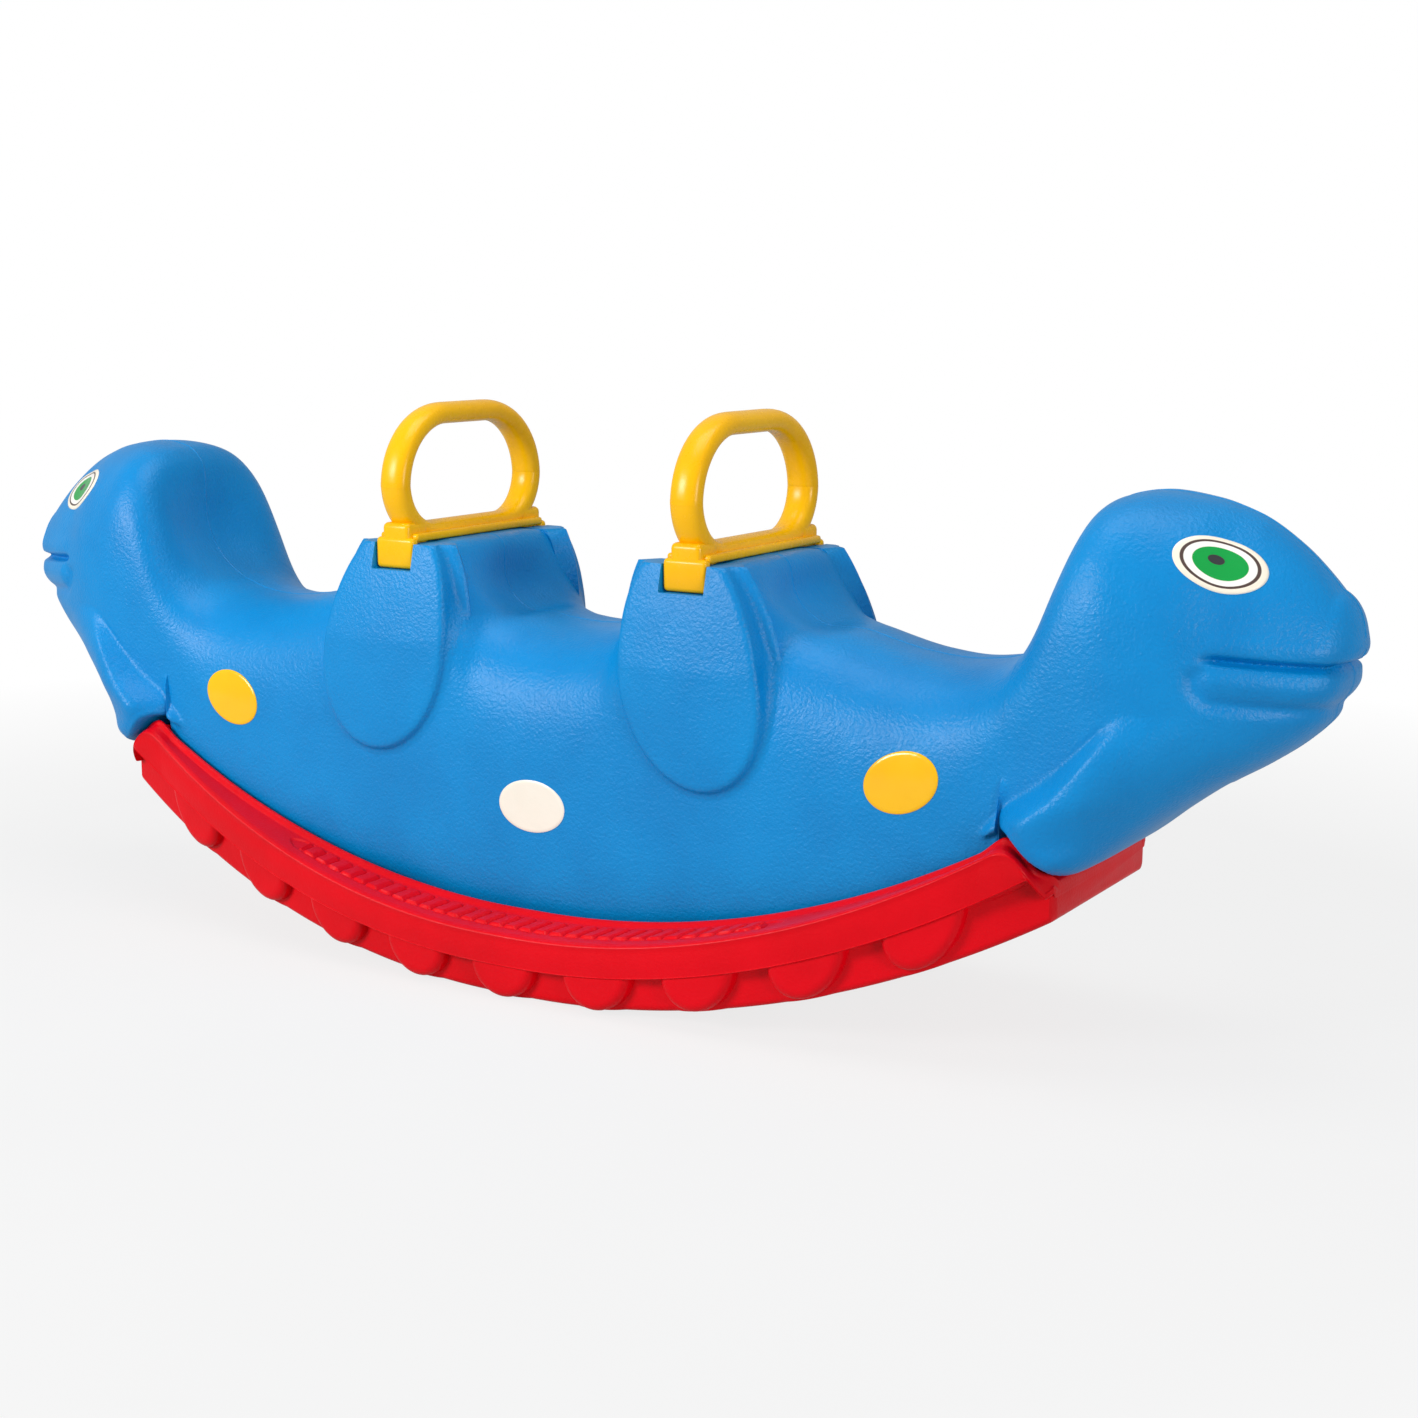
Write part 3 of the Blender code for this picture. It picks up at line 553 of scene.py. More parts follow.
def rolling_height(x):
    """Height of the base's rolling surface, with a short flat at the middle to rest on."""
    beyond = np.maximum(abs(x) - REST_FLAT, 0.0)
    return ROCKER_RADIUS - np.sqrt(ROCKER_RADIUS**2 - beyond**2)


def body_bottom(place):
    along = (place - FOOT_START) / (FOOT_END - FOOT_START)
    foot = FOOT_TOP + along * (FOOT_BOTTOM - FOOT_TOP)
    under = rolling_height(place) + BODY_OVER_FLOOR
    return np.where(place < FOOT_START, under, np.where(place < FOOT_END, foot, line(CHIN_LINE, place)))


def body_stations():
    """Places along X of the body's rings, closer together at the legs and round the nose."""
    plain = np.arange(0.0, 0.360, 0.003)
    legs = np.arange(0.360, 0.470, 0.0019)
    head = np.arange(0.470, 0.548, 0.0024)
    nose = 0.548 + (BODY_END - 0.0001 - 0.548) * np.sin(np.linspace(0, math.pi / 2, 34))
    half = np.unique(np.round(np.concatenate([plain, legs, head, nose]), 6))
    return np.concatenate([-half[:0:-1], half])


RING_POINTS = 150
RIDGE_POINTS = np.array([0.0, 0.0007, 0.0018, 0.0036])
RING_TURN = np.linspace(math.pi / 2, -math.pi / 2, 1201)


def body_sizes(stations):
    """The body's top, middle, bottom and half width at each ring, with the nose rounded off."""
    place = abs(stations)
    top = soft_line(TOP_LINE, stations)
    middle = soft_line(WIDEST_HEIGHT, stations, SIDE_BLUR)
    half = soft_line(HALF_WIDTH, stations, SIDE_BLUR)
    past = place > NOSE_START
    t = np.clip((place - NOSE_START) / (BODY_END - NOSE_START), 0.0, 1.0)
    rounding = np.sqrt(1 - t) * (1 + NOSE_FULLNESS * t)
    start_half = soft_line(HALF_WIDTH, NOSE_START, SIDE_BLUR)
    start_rise = soft_line(TOP_LINE, NOSE_START) - soft_line(WIDEST_HEIGHT, NOSE_START, SIDE_BLUR)
    half = np.where(past, start_half * rounding, half)
    top = np.where(past, middle + start_rise * rounding, top)
    bottom = np.minimum(body_bottom(place), middle - 0.0004)
    return top, middle, bottom, half


def half_ring(half, rise, drop, middle, upper, lower):
    """One side of a ring in Y and Z, from the ridge down, its points closer together out at the side."""
    square = np.where(RING_TURN > 0, upper, lower)
    reach = np.where(RING_TURN > 0, rise, drop)
    across, up = abs(np.cos(RING_TURN)), abs(np.sin(RING_TURN))
    radius = (across**square + up**square) ** (-1 / square)
    y = half * radius * across
    z = middle + np.sign(RING_TURN) * reach * radius * up
    y[0] = y[-1] = 0.0
    step = np.hypot(np.diff(y), np.diff(z))
    weight = 1 + 1.6 * (0.5 * (y[1:] + y[:-1]) / half) ** 4
    measure = np.concatenate([[0], np.cumsum(step)])
    warped = np.concatenate([[0], np.cumsum(step * weight)])
    ridge = RIDGE_POINTS * min(1.0, measure[-1] / 0.1)
    start = np.interp(ridge[-1], measure, warped)
    even = np.linspace(start, warped[-1], RING_POINTS - len(ridge) + 1)[1:]
    where = np.concatenate([ridge, np.interp(even, warped, measure)])
    return np.interp(where, measure, y), np.interp(where, measure, z)


def body_grid():
    """The body's rings, each a superellipse with its own squareness above and below."""
    stations = body_stations()
    top, middle, bottom, half = body_sizes(stations)
    upper = soft_line(UPPER_SQUARENESS, stations, SIDE_BLUR)
    lower = soft_line(LOWER_SQUARENESS, stations, SIDE_BLUR)
    rings = []
    for i, x in enumerate(stations):
        rise, drop = top[i] - middle[i], middle[i] - bottom[i]
        y, z = half_ring(half[i], rise, drop, middle[i], upper[i], lower[i])
        ring_y = np.concatenate([y, -y[-2:0:-1]])
        ring_z = np.concatenate([z, z[-2:0:-1]])
        rings.append(np.stack([np.full(len(ring_y), x), ring_y, ring_z], axis=1))
    return np.array(rings)


def press(grid, depth):
    """Moves every point of the grid along its outward direction, inwards where depth is negative."""
    return grid + grid_normals(grid) * depth[:, :, None]


def shape_seats(grid):
    """Dishes the back of each head and the flanks of the humps that face the seats."""
    x, y, z = abs(grid[:, :, 0]), grid[:, :, 1], grid[:, :, 2]
    depth = np.zeros(x.shape)
    for dish in DISHES:
        hollow = bump((z - dish.height) / dish.tall) * bump(y / dish.wide)
        hollow = hollow * ease((x - dish.start) / dish.start_fade) * ease((dish.end - x) / dish.end_fade)
        depth = depth + dish.depth * hollow
    return press(grid, (z > LOWEST_DISH) * -depth)


def blur_along(values):
    """Averages each ring with its neighbours along X, which rounds the leg's crest."""
    weights = np.array([1, 2, 3, 3, 3, 2, 1]) / 15

    def blur(row):
        return np.convolve(np.pad(row, 3, "edge"), weights, "valid")

    return np.apply_along_axis(blur, 0, values)


def shape_legs(grid):
    """Draws each leg out of the side as a wedge with a rolled lower edge over the base's end."""
    x, y, z = abs(grid[:, :, 0]), grid[:, :, 1], grid[:, :, 2]
    crest = line(LEG_CREST, z)
    inner = line(LEG_INNER, z)
    stands = line(LEG_STANDS, z)
    above = z - line(LEG_BORDER, x)
    along = (x - inner) / (crest - inner)
    flank = np.clip(along, 0.0, 1.0)
    dip = LEG_DIP * ease((above - LEG_DIP_START) / LEG_DIP_FADE) * ease(stands / 0.006)
    rise = stands * flank - dip * ease(along / 0.22) * (1 - flank)
    fall = stands * (1 - ease((x - crest) / LEG_FADE))
    shape = blur_along(np.where(x < crest, rise, fall))
    reach = ease((x - LEG_EDGE_START) / LEG_EDGE_FADE) * (x < LEG_EDGE_END)
    roll = LEG_ROLL * bell((above - LEG_ROLL_ABOVE) / LEG_ROLL_WIDTH) * ease((stands - 0.004) / 0.01)
    edge = 1 - reach * (1 - ease((above + 0.0005) / 0.0035))
    shape = (shape + roll * reach) * np.where(shape > 0, edge, 1.0)
    made = grid.copy()
    made[:, :, 1] = y * (1 + shape / BODY_SIDE)
    return made


def mouth_height(grid):
    """How far each point is above the mouth line, and how far it is round from the mouth's corner."""
    x, y, z = abs(grid[:, :, 0]) - MOUTH_CENTRE, grid[:, :, 1], grid[:, :, 2]
    turn = np.arctan2(abs(y), x)
    height = z - (MOUTH_HEIGHT + MOUTH_LIFT * (1 - np.cos(turn)))
    return height, (math.radians(MOUTH_TURN) - turn) * MOUTH_REACH


def shape_mouth(grid):
    """Presses in the mouth line, with a lip above it and a rolled lip with a crease below."""
    height, along = mouth_height(grid)
    beyond = np.minimum(along - LIP_ROLL_REACH, 0.0)
    below = height + LIP_ROLL_BELOW
    from_roll = np.hypot(beyond, below)
    fade = ease((along + 0.002) / 0.016)
    groove = -GROOVE_DEPTH * bell(height / GROOVE_WIDTH) * fade
    upper_lip = UPPER_LIP * bell((height - UPPER_LIP_ABOVE) / UPPER_LIP_WIDTH) * fade
    roll = LIP_ROLL * bell(from_roll / LIP_ROLL_WIDTH)
    under = np.where(below < 0, 1.0, ease(1 - below / 0.010))
    crease = -CREASE_DEPTH * bell((from_roll - CREASE_DISTANCE) / CREASE_WIDTH) * under
    on_head = grid[:, :, 2] > MOUTH_ABOVE
    in_reach = abs(grid[:, :, 0]) > MOUTH_BEYOND
    return press(grid, (groove + upper_lip + roll + crease) * on_head * in_reach)


def shape_ridge(grid):
    """A fine raised line where the two halves of the mould met, over the top of the body."""
    y, z = grid[:, :, 1], grid[:, :, 2]
    middle = (abs(y) < 0.0004) & (z > 0.2)
    return press(grid, MOULD_LINE * middle)


def keep_length(grid):
    """Draws the nose back to the body's length, past which the lips push it a little."""
    x = grid[:, :, 0]
    reach = abs(x).max()
    share = np.maximum((abs(x) - NOSE_START) / (reach - NOSE_START), 0.0)
    made = grid.copy()
    made[:, :, 0] = x - np.sign(x) * share * (reach - BODY_END + 0.0001)
    return made


def make_body():
    grid = body_grid()
    grid = shape_seats(grid)
    grid = shape_legs(grid)
    grid = shape_mouth(grid)
    grid = keep_length(shape_ridge(grid))
    body = grid_piece("body_shell_moulding", grid, BLUE)
    for side in (1, -1):
        for way in (1, -1):
            combine(body, lobe(body, side, way), "UNION")
    for side in (1, -1):
        for way in (1, -1):
            combine(body, notch(side, way), "DIFFERENCE")
    smooth(body, 48)
    return body


LOBE_POINTS = 120
LOBE_ROOT = 0.076
# The lobe's edge, from its skirt to its face: how far outside the outline, and how far proud.
# Where the lobe hardly stands out, both parts are drawn lower in proportion
LOBE_EDGE = [
    (0.0090, -0.0030), (0.0074, -0.0003), (0.0058, 0.0003), (0.0044, 0.0009), (0.0032, 0.0017),
    (0.0021, 0.0027), (0.0013, 0.0039), (0.0006, 0.0053), (0.0002, 0.0068),
]
LOBE_ROUND = [
    (0.0, 0.0040), (0.0004, 0.0028), (0.0010, 0.0018), (0.0019, 0.0009), (0.0032, 0.0003),
    (0.0050, 0.0),
]
LOBE_STEP = 0.0108
LOBE_BULGE = 0.0032


def lobe_outline(side, outside):
    """The lobe's egg outline in X and Z, drawn larger by outside and cut off at the hump's top."""
    turn = np.linspace(0, 2 * math.pi, LOBE_POINTS, endpoint=False)
    up = np.sin(turn)
    reach = np.where(up > 0, LOBE_UP, LOBE_DOWN) + outside
    z = np.minimum(LOBE_CENTRE[1] + reach * up, HUMP_TOP - 0.0008)
    x = LOBE_CENTRE[0] + (LOBE_HALF_WIDTH + outside) * np.cos(turn) + LOBE_LEAN * (z - LOBE_CENTRE[1])
    return side * x, z


def lobe_face(z, share=1.0):
    """How far out the lobe's face is: it bulges at its middle and leans in towards the hump's top."""
    lean = 0.12 * np.maximum(z - 0.255, 0.0) + 0.25 * np.maximum(z - 0.29, 0.0) ** 1.5
    return LOBE_FACE - lean - LOBE_BULGE * share**2.2


def lobe(body, side, way):
    """The egg-shaped lobe on a hump's side, with a soft foot that runs into the body."""
    surface = surface_of(body)

    def skin(x, z):
        hit = surface.ray_cast(Vector((x, way * RAY_START, z)), Vector((0, -way, 0)))[0]
        return max(abs(hit.y), LOBE_ROOT) if hit and hit.y * way > 0 else LOBE_ROOT

    rings = []
    x, z = lobe_outline(side, 0.0)
    rings.append([(a, way * 0.06, b) for a, b in zip(x, z)])
    for outside, proud in LOBE_EDGE:
        x, z = lobe_outline(side, outside)
        foot = np.array([skin(a, b) for a, b in zip(x, z)])
        low = np.clip((lobe_face(z) - foot) / LOBE_STEP, 0.30, 1.0)
        rings.append([(a, way * b, c) for a, b, c in zip(x, foot + proud * (low if proud > 0 else 1), z)])
    for inside, under in LOBE_ROUND:
        x, z = lobe_outline(side, -inside)
        foot = np.array([skin(a, b) for a, b in zip(x, z)])
        low = np.clip((lobe_face(z) - foot) / LOBE_STEP, 0.30, 1.0)
        y = np.maximum(lobe_face(z, 1 - inside / 0.066) - under * low, foot + 0.0070 * low)
        rings.append([(a, way * b, c) for a, b, c in zip(x, y, z)])
    for share in np.linspace(0.98, 0.02, 16):
        x, z = lobe_outline(side, -0.0050)
        x = side * LOBE_CENTRE[0] + (x - side * LOBE_CENTRE[0]) * share
        z = LOBE_CENTRE[1] + (z - LOBE_CENTRE[1]) * share
        y = lobe_face(z, share * 0.924)
        rings.append([(a, way * b, c) for a, b, c in zip(x, y, z)])
    return grid_piece("lobe", np.array(rings), BLUE)


def block(name, low, high, rounding, finish=None, segments=3):
    """A block with rounded edges."""
    bm = bmesh.new()
    bmesh.ops.create_cube(bm, size=1.0)
    bmesh.ops.scale(bm, vec=Vector(high) - Vector(low), verts=bm.verts)
    bmesh.ops.translate(bm, vec=(Vector(low) + Vector(high)) / 2, verts=bm.verts)
    bmesh.ops.bevel(bm, geom=bm.edges, offset=rounding, segments=segments, affect="EDGES", profile=0.5)
    mesh = bpy.data.meshes.new(name)
    bm.to_mesh(mesh)
    bm.free()
    return finished_piece(name, mesh, finish)


def notch(side, way):
    """The notch in the hump's edge that a handle's tab drops into."""
    x = side * HUMP_X
    ends = (way * (TAB_INNER - NOTCH_GAP), way * 0.13)
    low = (x - TAB_HALF_WIDTH - NOTCH_GAP, min(ends), TAB_BOTTOM - NOTCH_GAP)
    high = (x + TAB_HALF_WIDTH + NOTCH_GAP, max(ends), HUMP_TOP + 0.03)
    return block("notch", low, high, 0.0012)


body = make_body()
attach(body, "root")
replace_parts(body, "body_shell")


# The base


def base_half_width(x):
    place = abs(x)
    corner = np.maximum(place - END_CORNER_START, 0.0) / (BASE_HALF_LENGTH - END_CORNER_START)
    narrowed = BASE_NARROWING * np.minimum(place, WING_EVEN_START) ** 2
    narrowed = narrowed + WING_EVEN * np.maximum(place - WING_EVEN_START, 0.0)
    return BASE_HALF_WIDTH - narrowed - END_CORNER * corner**2


def base_stations():
    """Places along X of the base's sections: even ones for the ribs, closer ones round each tooth."""
    even = np.arange(-0.414, 0.4141, 0.0013)
    teeth = [(i - TEETH_EACH_SIDE // 2) * TOOTH_PITCH for i in range(TEETH_EACH_SIDE)]
    turns = np.cos(np.linspace(0, math.pi, 45)) * TOOTH_HALF_LENGTH
    near_edges = [centre + turns[abs(turns) > 0.02] for centre in teeth]
    ends = BASE_HALF_LENGTH - END_EDGE * (1 - np.sin(np.linspace(0, math.pi / 2, 8)))
    places = np.unique(np.round(np.concatenate([even, *near_edges, ends, -ends]), 5))
    keep = np.concatenate([[True], np.diff(places) > 0.00012])
    return places[keep]


def from_tooth(x):
    """Distance along X from the middle of the nearest tooth."""
    number = np.clip(np.round(x / TOOTH_PITCH), -(TEETH_EACH_SIDE // 2), TEETH_EACH_SIDE // 2)
    return float(abs(x - number * TOOTH_PITCH))


def arc(y, z, radius, start, stop, count):
    """Points on part of a circle round (y, z), from one angle to another."""
    turns = np.radians(np.linspace(start, stop, count))
    return [(y + radius * math.cos(a), z + radius * math.sin(a)) for a in turns]


def side_points(x, floor, half, band, recess):
    """The side below the rim band: back to the recess, then out over the tooth where there is one."""
    face = half - TOOTH_SET_BACK
    middle = band + 0.003
    deep = middle - floor - TOOTH_CLEARANCE - TOOTH_RISE * x * x
    along = min(from_tooth(x) / TOOTH_HALF_LENGTH, 1.0)
    edge = middle - deep * math.sqrt(1 - along * along)
    edge = min(max(edge, floor + 0.0010), band - 0.0025)
    corner = min(0.005, 0.6 * (edge - floor))
    points = arc(recess - corner, floor + corner, corner, -80, -5, 5)
    points += [(recess, z) for z in np.linspace(floor + 1.05 * corner, edge - 0.1 * corner, 5)]
    rounding = TOOTH_ROUNDING
    side = []
    for z in edge + (band - edge) * np.linspace(0, 1, 14) ** 1.6:
        inside = TOOTH_HALF_LENGTH * (1 - math.hypot(along, (middle - z) / deep))
        if inside > 0:
            lack = rounding - min(inside, rounding)
            y = face - (rounding - math.sqrt(rounding**2 - lack**2))
        else:
            y = max(recess, face - rounding + inside * 9)
        side.append((y, z))
    start = side[0][0]
    points += [(recess + (start - recess) * t, edge - 0.1 * corner * (1 - t)) for t in (0.3, 0.6, 0.85)]
    return points + side


def tread_points(x, half, inner, rim, lip):
    """The top of the wing: a flat border, the ribbed tread, and a rise to the lip along the body."""
    width = half - inner
    outer = half - TREAD_BORDER
    profile = [(0.0, rim), (min(TREAD_BORDER, 0.15 * width), rim + 0.0006)]
    profile += [(width - min(back, most * width), lip - below) for back, most, below in LIP_PROFILE]
    points = []
    for t in np.linspace(0, 1, 46):
        y = outer + (inner + 0.0030 - outer) * t
        off = half - y
        share = (off - TREAD_FROM_RIM) / max(width - TREAD_MARGINS, 0.002)
        height = float(line(profile, off))
        points.append((y, height + rib(x, y, share)))
    return points


def rib(x, y, share):
    """Height of the sunk tread's slanted ribs, over the plain border round them."""
    place = abs(x)
    rounded = TREAD_END_ROUND * (1 - min(4 * share * (1 - share), 1.0))
    panel = ease((TREAD_END - rounded - place) / TREAD_FADE)
    panel = float(panel * ease(share / 0.10) * ease((1 - share) / 0.10))
    if not panel:
        return 0.0
    within = ease((TREAD_END - RIB_END_GAP - place) / TREAD_FADE)
    within = float(within * ease((share - 0.04) / 0.10) * ease((0.98 - share) / 0.10))
    slant = RIB_SLANT + RIB_FAN * x
    phase = (x + slant * (abs(y) - TREAD_MIDDLE)) / RIB_PITCH
    from_groove = abs(phase - round(phase)) * RIB_PITCH
    ridge = 1 - math.exp(-((from_groove / RIB_GROOVE) ** 2))
    return -TREAD_SINK * panel + RIB_HEIGHT * within * ridge


def base_half_section(x):
    """One side of the base's section, from the middle of its underside round to the trough's middle."""
    place = abs(x)
    worn = END_EDGE - math.sqrt(END_EDGE**2 - max(place - BASE_HALF_LENGTH + END_EDGE, 0.0) ** 2)
    floor = float(rolling_height(x)) + worn
    half = float(base_half_width(x)) - worn
    inner = min(float(soft_line(HALF_WIDTH, place, SIDE_BLUR)) + GAP_ROUND_BODY, half - NARROWEST_WING)
    border = float(line(LEG_BORDER, place)) - 0.0020
    foot_line = FOOT_TOP - (place - FOOT_START) * (FOOT_TOP - FOOT_BOTTOM) / (FOOT_END - FOOT_START)
    fall = min(BAND_END_FALL * max(place - BAND_END, 0.0) ** 2, BAND_END_DEPTH)
    end_rise = LIP_END_RISE * float(ease((place - LIP_END_START) / LIP_END_FADE))
    lip = floor + LIP_HEIGHT + LIP_RISE * place**2 + end_rise
    lip = min(lip, border) - 2 * worn
    rim = min(floor + RIM_HEIGHT + RIM_RISE * place**2 - fall, lip - 0.0030)
    band = min(floor + BAND_HEIGHT + BAND_RISE * place**2, rim - 0.0050)
    recess = min(BASE_HALF_WIDTH - BASE_NARROWING * place**2 - RECESS_DEPTH, half - RECESS_LEAST)
    points = [(y, floor) for y in np.linspace(0.0, recess - 0.006, 7)]
    points += side_points(x, floor, half, band, recess)
    last = points[-1][0]
    points += [(last + (half - 0.0012 - last) * t, band + 0.0004 * t) for t in (0.35, 0.7)]
    points += [(half - 0.0009, band + 0.0005), (half - 0.0002, band + 0.0011)]
    for t in np.linspace(0, 1, 7):
        z = band + 0.0016 + (rim - 0.0030 - band - 0.0016) * t
        points.append((half + BAND_BULGE * math.sin(math.pi * t) - BAND_BULGE, z))
    points += arc(half - RIM_ROUNDING, rim - RIM_ROUNDING, RIM_ROUNDING, 18, 90, 6)
    points += tread_points(x, half, inner, rim, lip)
    points += [(inner + 0.0018, lip - 0.0002), (inner + 0.0007, lip - 0.0008), (inner, lip - 0.0021)]
    trough = floor + BODY_OVER_FLOOR - 0.0012
    if place < FOOT_START:
        points += [(inner, trough + 0.006), (inner - 0.004, trough + 0.0005)]
    else:
        trough = min(foot_line - 0.0035, lip - 0.0020)
        points += [(inner - 0.0003, trough + 0.0008), (inner - 0.004, trough)]
    return points + [(y, trough) for y in np.linspace(inner - 0.008, 0.0, 5)]


def make_base():
    rings = []
    for x in base_stations():
        right = base_half_section(x)
        left = [(-y, z) for y, z in right[-2:0:-1]]
        rings.append([(x, y, z) for y, z in right + left])
    base = grid_piece("rocker_base_moulding", np.array(rings), RED)
    smooth(base, 42)
    return base


base = make_base()
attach(base, "root")
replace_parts(base, "rocker_base")


# The handles


def handle_path():
    """The loop's closed centre line in Y and Z, with wide corners above and tighter ones below."""
    bottom = BAR_TOP - GRIP_HALF_DEPTH
    wide = LEG_Y - GRIP_CORNER
    narrow = LEG_Y - LOOP_CORNER
    upper = []
    for turn in np.radians(np.linspace(0, 90, 17)):
        z = LEG_HEIGHT + (GRIP_CENTRE - LEG_HEIGHT) * math.sin(turn)
        upper.append((wide + GRIP_CORNER * math.cos(turn), z))
    upper += [(-y, z) for y, z in reversed(upper)]
    lower = []
    for turn in np.radians(np.linspace(0, 90, 13)):
        lower.append((-narrow - LOOP_CORNER * math.cos(turn), bottom + LOOP_CORNER * (1 - math.sin(turn))))
    lower += [(-y, z) for y, z in reversed(lower)]
    return np.array(upper + lower + upper[:1])


def loop_grid(x):
    """Oval rings at even steps along the loop's centre line."""
    path = handle_path()
    steps = np.concatenate([[0], np.cumsum(np.linalg.norm(np.diff(path, axis=0), axis=1))])
    even = np.linspace(0, steps[-1], 180, endpoint=False)
    path = np.stack([np.interp(even, steps, path[:, k]) for k in (0, 1)], axis=1)
    way = np.roll(path, -1, axis=0) - np.roll(path, 1, axis=0)
    way /= np.linalg.norm(way, axis=1, keepdims=True)
    out = np.stack([way[:, 1], -way[:, 0]], axis=1)
    turn = np.linspace(0, 2 * math.pi, 36, endpoint=False)
    across, deep = np.cos(turn), np.sin(turn)
    grid = np.empty((len(path), len(turn), 3))
    grid[:, :, 0] = x + GRIP_HALF_WIDTH * np.sign(across) * abs(across) ** GRIP_FULLNESS
    reach = GRIP_HALF_DEPTH * np.sign(deep) * abs(deep) ** GRIP_FULLNESS
    grid[:, :, 1:] = path[:, None, :] + out[:, None, :] * reach[None, :, None]
    return grid


def make_handle(name, x):
    """The grip's loop on a flat bar, with a neck and a tab at each end that drop into the notches."""
    handle = ring_piece(name, loop_grid(x), YELLOW)
    low = (x - BAR_HALF_WIDTH, -BAR_END, HUMP_TOP + 0.0004)
    high = (x + BAR_HALF_WIDTH, BAR_END, FLANGE_TOP)
    combine(handle, block("flange", low, high, 0.0022, YELLOW), "UNION")
    low = (x - GRIP_HALF_WIDTH + 0.001, -BAR_END + 0.012, HUMP_TOP + 0.002)
    high = (x + GRIP_HALF_WIDTH - 0.001, BAR_END - 0.012, BAR_TOP - 0.0030)
    combine(handle, block("rib", low, high, 0.0020, YELLOW), "UNION")
    for side in (1, -1):
        ends = (side * 0.062, side * (TAB_FACE - 0.0010))
        low = (x - GRIP_HALF_WIDTH - 0.0006, min(ends), TAB_BOTTOM + 0.010)
        high = (x + GRIP_HALF_WIDTH + 0.0006, max(ends), BAR_TOP + 0.0012)
        combine(handle, block("neck", low, high, 0.0044, YELLOW, 5), "UNION")
        ends = (side * TAB_INNER, side * TAB_FACE)
        low = (x - TAB_HALF_WIDTH, min(ends), TAB_BOTTOM)
        high = (x + TAB_HALF_WIDTH, max(ends), HUMP_TOP + 0.0035)
        combine(handle, block("tab", low, high, 0.0034, YELLOW, 4), "UNION")
    smooth(handle, 40)
    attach(handle, "root")
    return handle


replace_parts(make_handle("handle_right_moulding", HUMP_X), "handle_right")
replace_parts(make_handle("handle_left_moulding", -HUMP_X), "handle_left")


# Stickers

STICKER_SIDES = 96
STICKER_RINGS = [0.0, 0.15, 0.3, 0.45, 0.6, 0.75, 0.88, 0.96, 1.0]
STICKER_THICKNESS = 0.0009
STICKER_EDGE = 0.0004
STICKER_SUNK = 0.0012


def sticker_rings(surface, outline, way, tilt, turned):
    """Rings of points just over the body's skin, each with its place on the label's print."""
    x, z, half_length, half_height = outline
    lean = math.radians(turned)
    origin = Vector((x, way * RAY_START, z + tilt * RAY_REACH))
    towards = Vector((0, -way, -tilt)).normalized()
    up = Vector((0, -way * tilt, 1)).normalized()
    rings = []
    for radius in STICKER_RINGS:
        height = STICKER_THICKNESS if radius < 0.99 else STICKER_EDGE
        ring = []
        for i in range(STICKER_SIDES if radius else 1):
            turn = 2 * math.pi * i / STICKER_SIDES
            across = half_length * radius * math.cos(turn)
            upwards = half_height * radius * math.sin(turn)
            start = origin + Vector((across * math.cos(lean) + upwards * math.sin(lean), 0, 0))
            start += up * (upwards * math.cos(lean) - across * math.sin(lean))
            hit, normal, _, _ = surface.ray_cast(start, towards)
            ring.append((hit + normal * height, (radius * math.cos(turn), radius * math.sin(turn))))
        rings.append(ring)
    sunk = [(point + towards * STICKER_SUNK, place) for point, place in rings[-1]]
    return rings + [sunk]


def sticker(name, rings, finish, node):
    """A thin oval label with a softly rounded edge, whose last ring is sunk in the skin."""
    bm = bmesh.new()
    print_layer = bm.loops.layers.uv.new("rings")
    rows = [[bm.verts.new(point) for point, _ in ring] for ring in rings]
    places = {vert: place for row, ring in zip(rows, rings) for vert, (_, place) in zip(row, ring)}
    for i in range(STICKER_SIDES):
        j = (i + 1) % STICKER_SIDES
        bm.faces.new((rows[0][0], rows[1][i], rows[1][j]))
        for near, far in zip(rows[1:], rows[2:]):
            bm.faces.new((near[i], far[i], far[j], near[j]))
    bm.faces.new(rows[-1])
    for face in bm.faces:
        for loop in face.loops:
            loop[print_layer].uv = places[loop.vert]
    mesh = bpy.data.meshes.new(name)
    bm.to_mesh(mesh)
    bm.free()
    label = finished_piece(name, mesh, finish)
    smooth(label, 50)
    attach(label, "root")
    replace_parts(label, node)


skin = surface_of(body)
for side, end in ((1, "right"), (-1, "left")):
    for way, flank in ((-1, "near"), (1, "far")):
        spot = (side * SPOT[0],) + SPOT[1:]
        rings = sticker_rings(skin, spot, way, 0, -side * SPOT_TURN)
        sticker(f"spot_sticker_{end}_{flank}", rings, SPOT_VINYL, f"spot_{end}_{flank}")
        eye = (side * EYE[0],) + EYE[1:]
        rings = sticker_rings(skin, eye, way, EYE_TILT, side * EYE_TURN)
        sticker(f"eye_sticker_{end}_{flank}", rings, EYE_PRINT, f"eye_{end}_{flank}")
for way, flank in ((-1, "near"), (1, "far")):
    rings = sticker_rings(skin, BADGE, way, 0, 0)
    sticker(f"badge_sticker_{flank}", rings, BADGE_VINYL, f"badge_{flank}")

# The screws and washers keep their solids' shapes
for name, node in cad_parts.items():
    if name.startswith(("base_screw", "washer")):
        for slot in node.material_slots:
            slot.material = ZINC


# Studio

WORLD_LIGHT = 0.30
MIRRORED_BACKDROP = 0.25
FLOOR_GAP = 0.0005
FLOOR_HALF = 9
FLOOR_FADE = (0.75, 1.5)
FLOOR_NEAR_SHARE = 0.80


